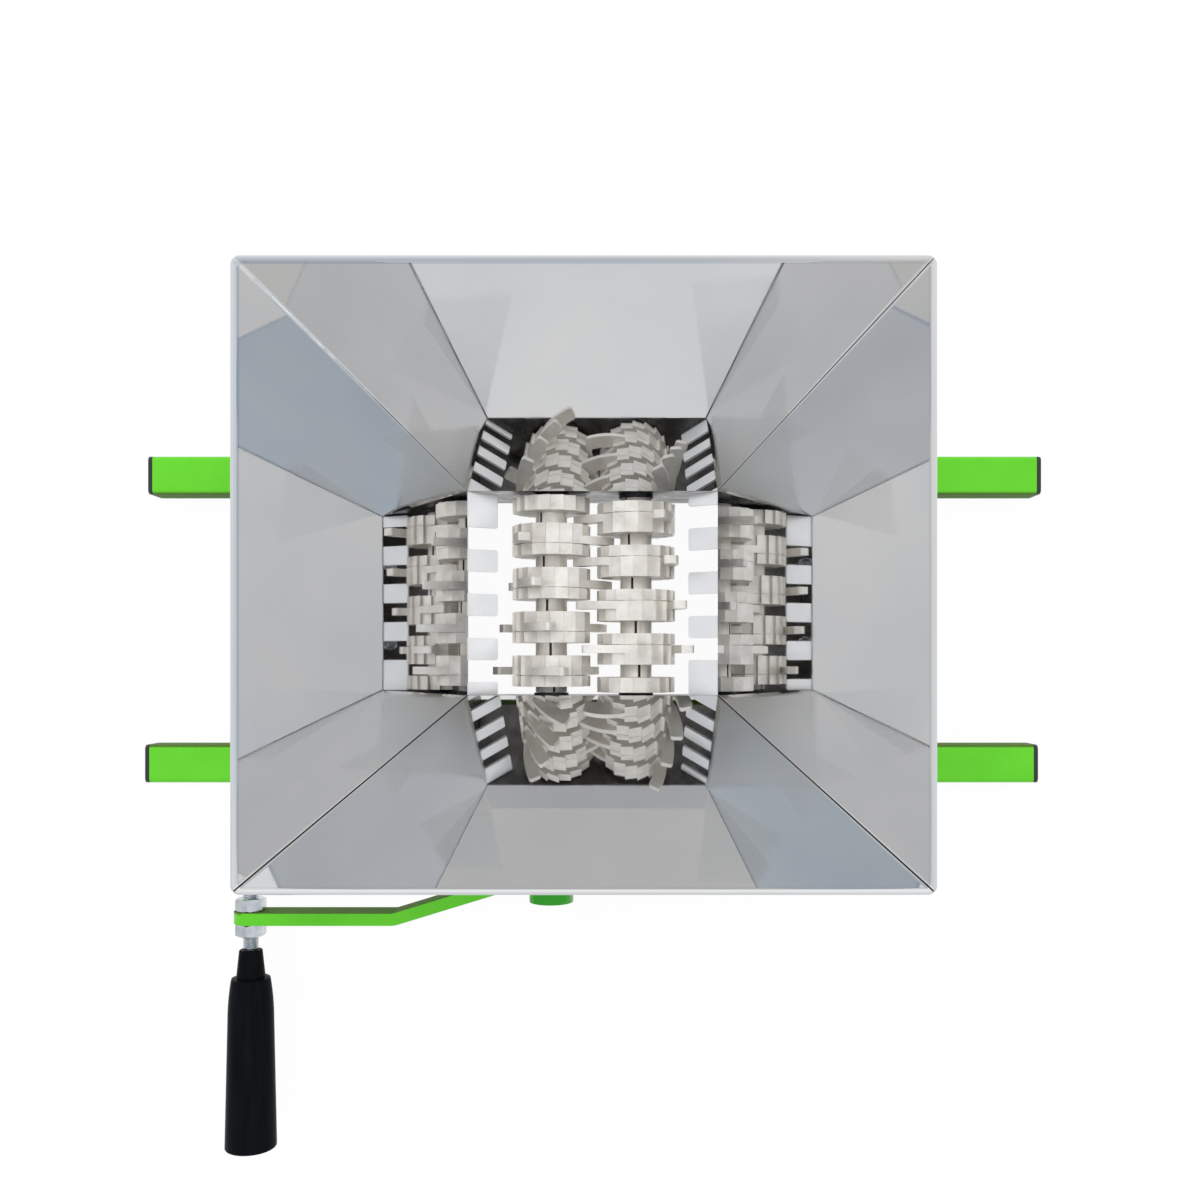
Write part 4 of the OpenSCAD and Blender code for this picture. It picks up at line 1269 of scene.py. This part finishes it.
lidScrewValues = {
    "spread": 7.0,
    "reach": 6.0,
    "radius": 4.0,
    "height": 2.6,
    "socket": 2.5,
    "socketDepth": 1.5,
    "socketEdge": 0.2,
    "shank": 4.0,
    "pitch": 0.7,
    "steps": 5,
    "shankSides": 18,
    "overlap": 0.4,
    "headSides": 36,
    # Outline of the head: shares of its radius and height
    "dome": ((0.97, 0.0), (1.0, 0.12), (1.0, 0.32), (0.94, 0.62), (0.8, 0.86), (0.6, 1.0)),
}


def addLidScrew(bm, start, out):
    v = lidScrewValues
    place = placeAlong(start, out)
    sides = v["headSides"]
    angles = fullTurn(sides, math.pi / 6)
    def level(radii, z):
        return ringPoints(place, radii, angles, [z] * sides)
    rings = [level([v["radius"] * r] * sides, v["height"] * z) for r, z in v["dome"]]
    socket = [hexRadius(a, v["socket"]) for a in angles]
    rings.append(level([r + v["socketEdge"] for r in socket], v["height"]))
    rings.append(level(socket, v["height"] - v["socketEdge"]))
    rings.append(level(socket, v["height"] - v["socketDepth"]))
    addRings(bm, rings)
    inHead = placeAlong(start + out * v["overlap"], -out)
    length = v["reach"] + v["overlap"]
    addThread(bm, inHead, v["shank"], v["pitch"], length, v["steps"], v["shankSides"])


def buildLidScrews():
    v = lidScrewValues
    low, high = nodeBox("lid_screws")
    faceX = high.x - v["height"]
    _, y, z = (low + high) / 2
    bm = bmesh.new()
    for sign in (-1, 1):
        for spread in (-v["spread"], v["spread"]):
            addLidScrew(bm, Vector((sign * faceX, y + spread, z)), Vector((sign, 0, 0)))
    finishZinc("lidScrewSet", bm, "frame", "lid_screws")


buildLidScrews()
print("lid screws built")


# Weld beads where the brackets meet the hopper and where the plates meet at the corners

weldValues = {
    "leg": 2.6,
    "ripple": 1.5,
    "step": 0.3,
    "fewestSteps": 4,
    "endLength": 1.5,
    "endSize": 0.25,
    "valley": 0.88,  # size of the bead between two scallops
    "rootDepth": 0.08,
    "points": 6,
    "bracketSpans": ((-36, -20), (-8, 8), (20, 36)),
    "bracketBack": 1.5,
    "bracketCover": 1.4,
    "bracketBulge": 0.35,
    "cornerSpans": ((12, 30), (44, 62)),
    "cornerLeg": 0.8,
    "cornerProud": 0.15,
    "sharpAngle": 60,
}


def addBead(bm, start, end, legA, legB, bulge=0.0):
    # A ripple runs along the bead: each scallop swells and falls off, as laid by hand
    v = weldValues
    length = (end - start).length
    count = max(v["fewestSteps"], int(length / v["step"]))
    rings = []
    for j in range(count + 1):
        along = length * j / count
        middle = start + (end - start) * (along / length)
        scallop = math.sin(math.pi * (along / v["ripple"] % 1))
        taper = min(1, *(gap / v["endLength"] + v["endSize"] for gap in (along, length - along)))
        size = taper * (v["valley"] + (1 - v["valley"]) * scallop)
        ring = []
        for k in range(v["points"] + 1):
            share = k / v["points"]
            out = (legA * (1 - share) + legB * share) * (1 + bulge * math.sin(math.pi * share))
            ring.append((middle + out * size) * mm)
        ring.append((middle - (legA + legB) * v["rootDepth"]) * mm)
        rings.append(ring)
    addRings(bm, rings)


def addBracketWelds(bm):
    # On the leaf's upper edge: one leg climbs the wall and the other covers the edge
    v = weldValues
    _, high = nodeBox("right_hopper_bracket")
    slope = Vector((hopperLean, 0, 1)).normalized() * v["leg"]
    across = Vector((1, 0, -hopperLean)).normalized()
    corner = Vector((high.x, 0, high.z)) - across * v["bracketBack"]
    cover = across * v["bracketCover"]
    for sign in (-1, 1):
        turn = Matrix.Diagonal((sign, 1, 1))
        for fromY, toY in v["bracketSpans"]:
            start, end = corner + Vector((0, fromY, 0)), corner + Vector((0, toY, 0))
            addBead(bm, *(turn @ p for p in (start, end, slope, cover)), v["bracketBulge"])


def addCornerWelds(bm):
    v = weldValues
    _, rearCorner = nodeBox("rear_plate")
    frontCorner, _ = nodeBox("gear_plate")
    for sign in (-1, 1):
        x = sign * rearCorner.x
        for faceY, outward in ((rearCorner.y, 1), (frontCorner.y, -1)):
            legs = [
                Vector((side * v["leg"] * v["cornerLeg"], outward * v["cornerProud"], 0))
                for side in (-1, 1)
            ]
            for fromZ, toZ in v["cornerSpans"]:
                addBead(bm, Vector((x, faceY, fromZ)), Vector((x, faceY, toZ)), *legs)


def buildWelds():
    bm = bmesh.new()
    addBracketWelds(bm)
    addCornerWelds(bm)
    angle = weldValues["sharpAngle"]
    finishPiece("weldBeads", bm, "weld_steel", "frame", sharpAngle=angle)


buildWelds()
print("welds built")
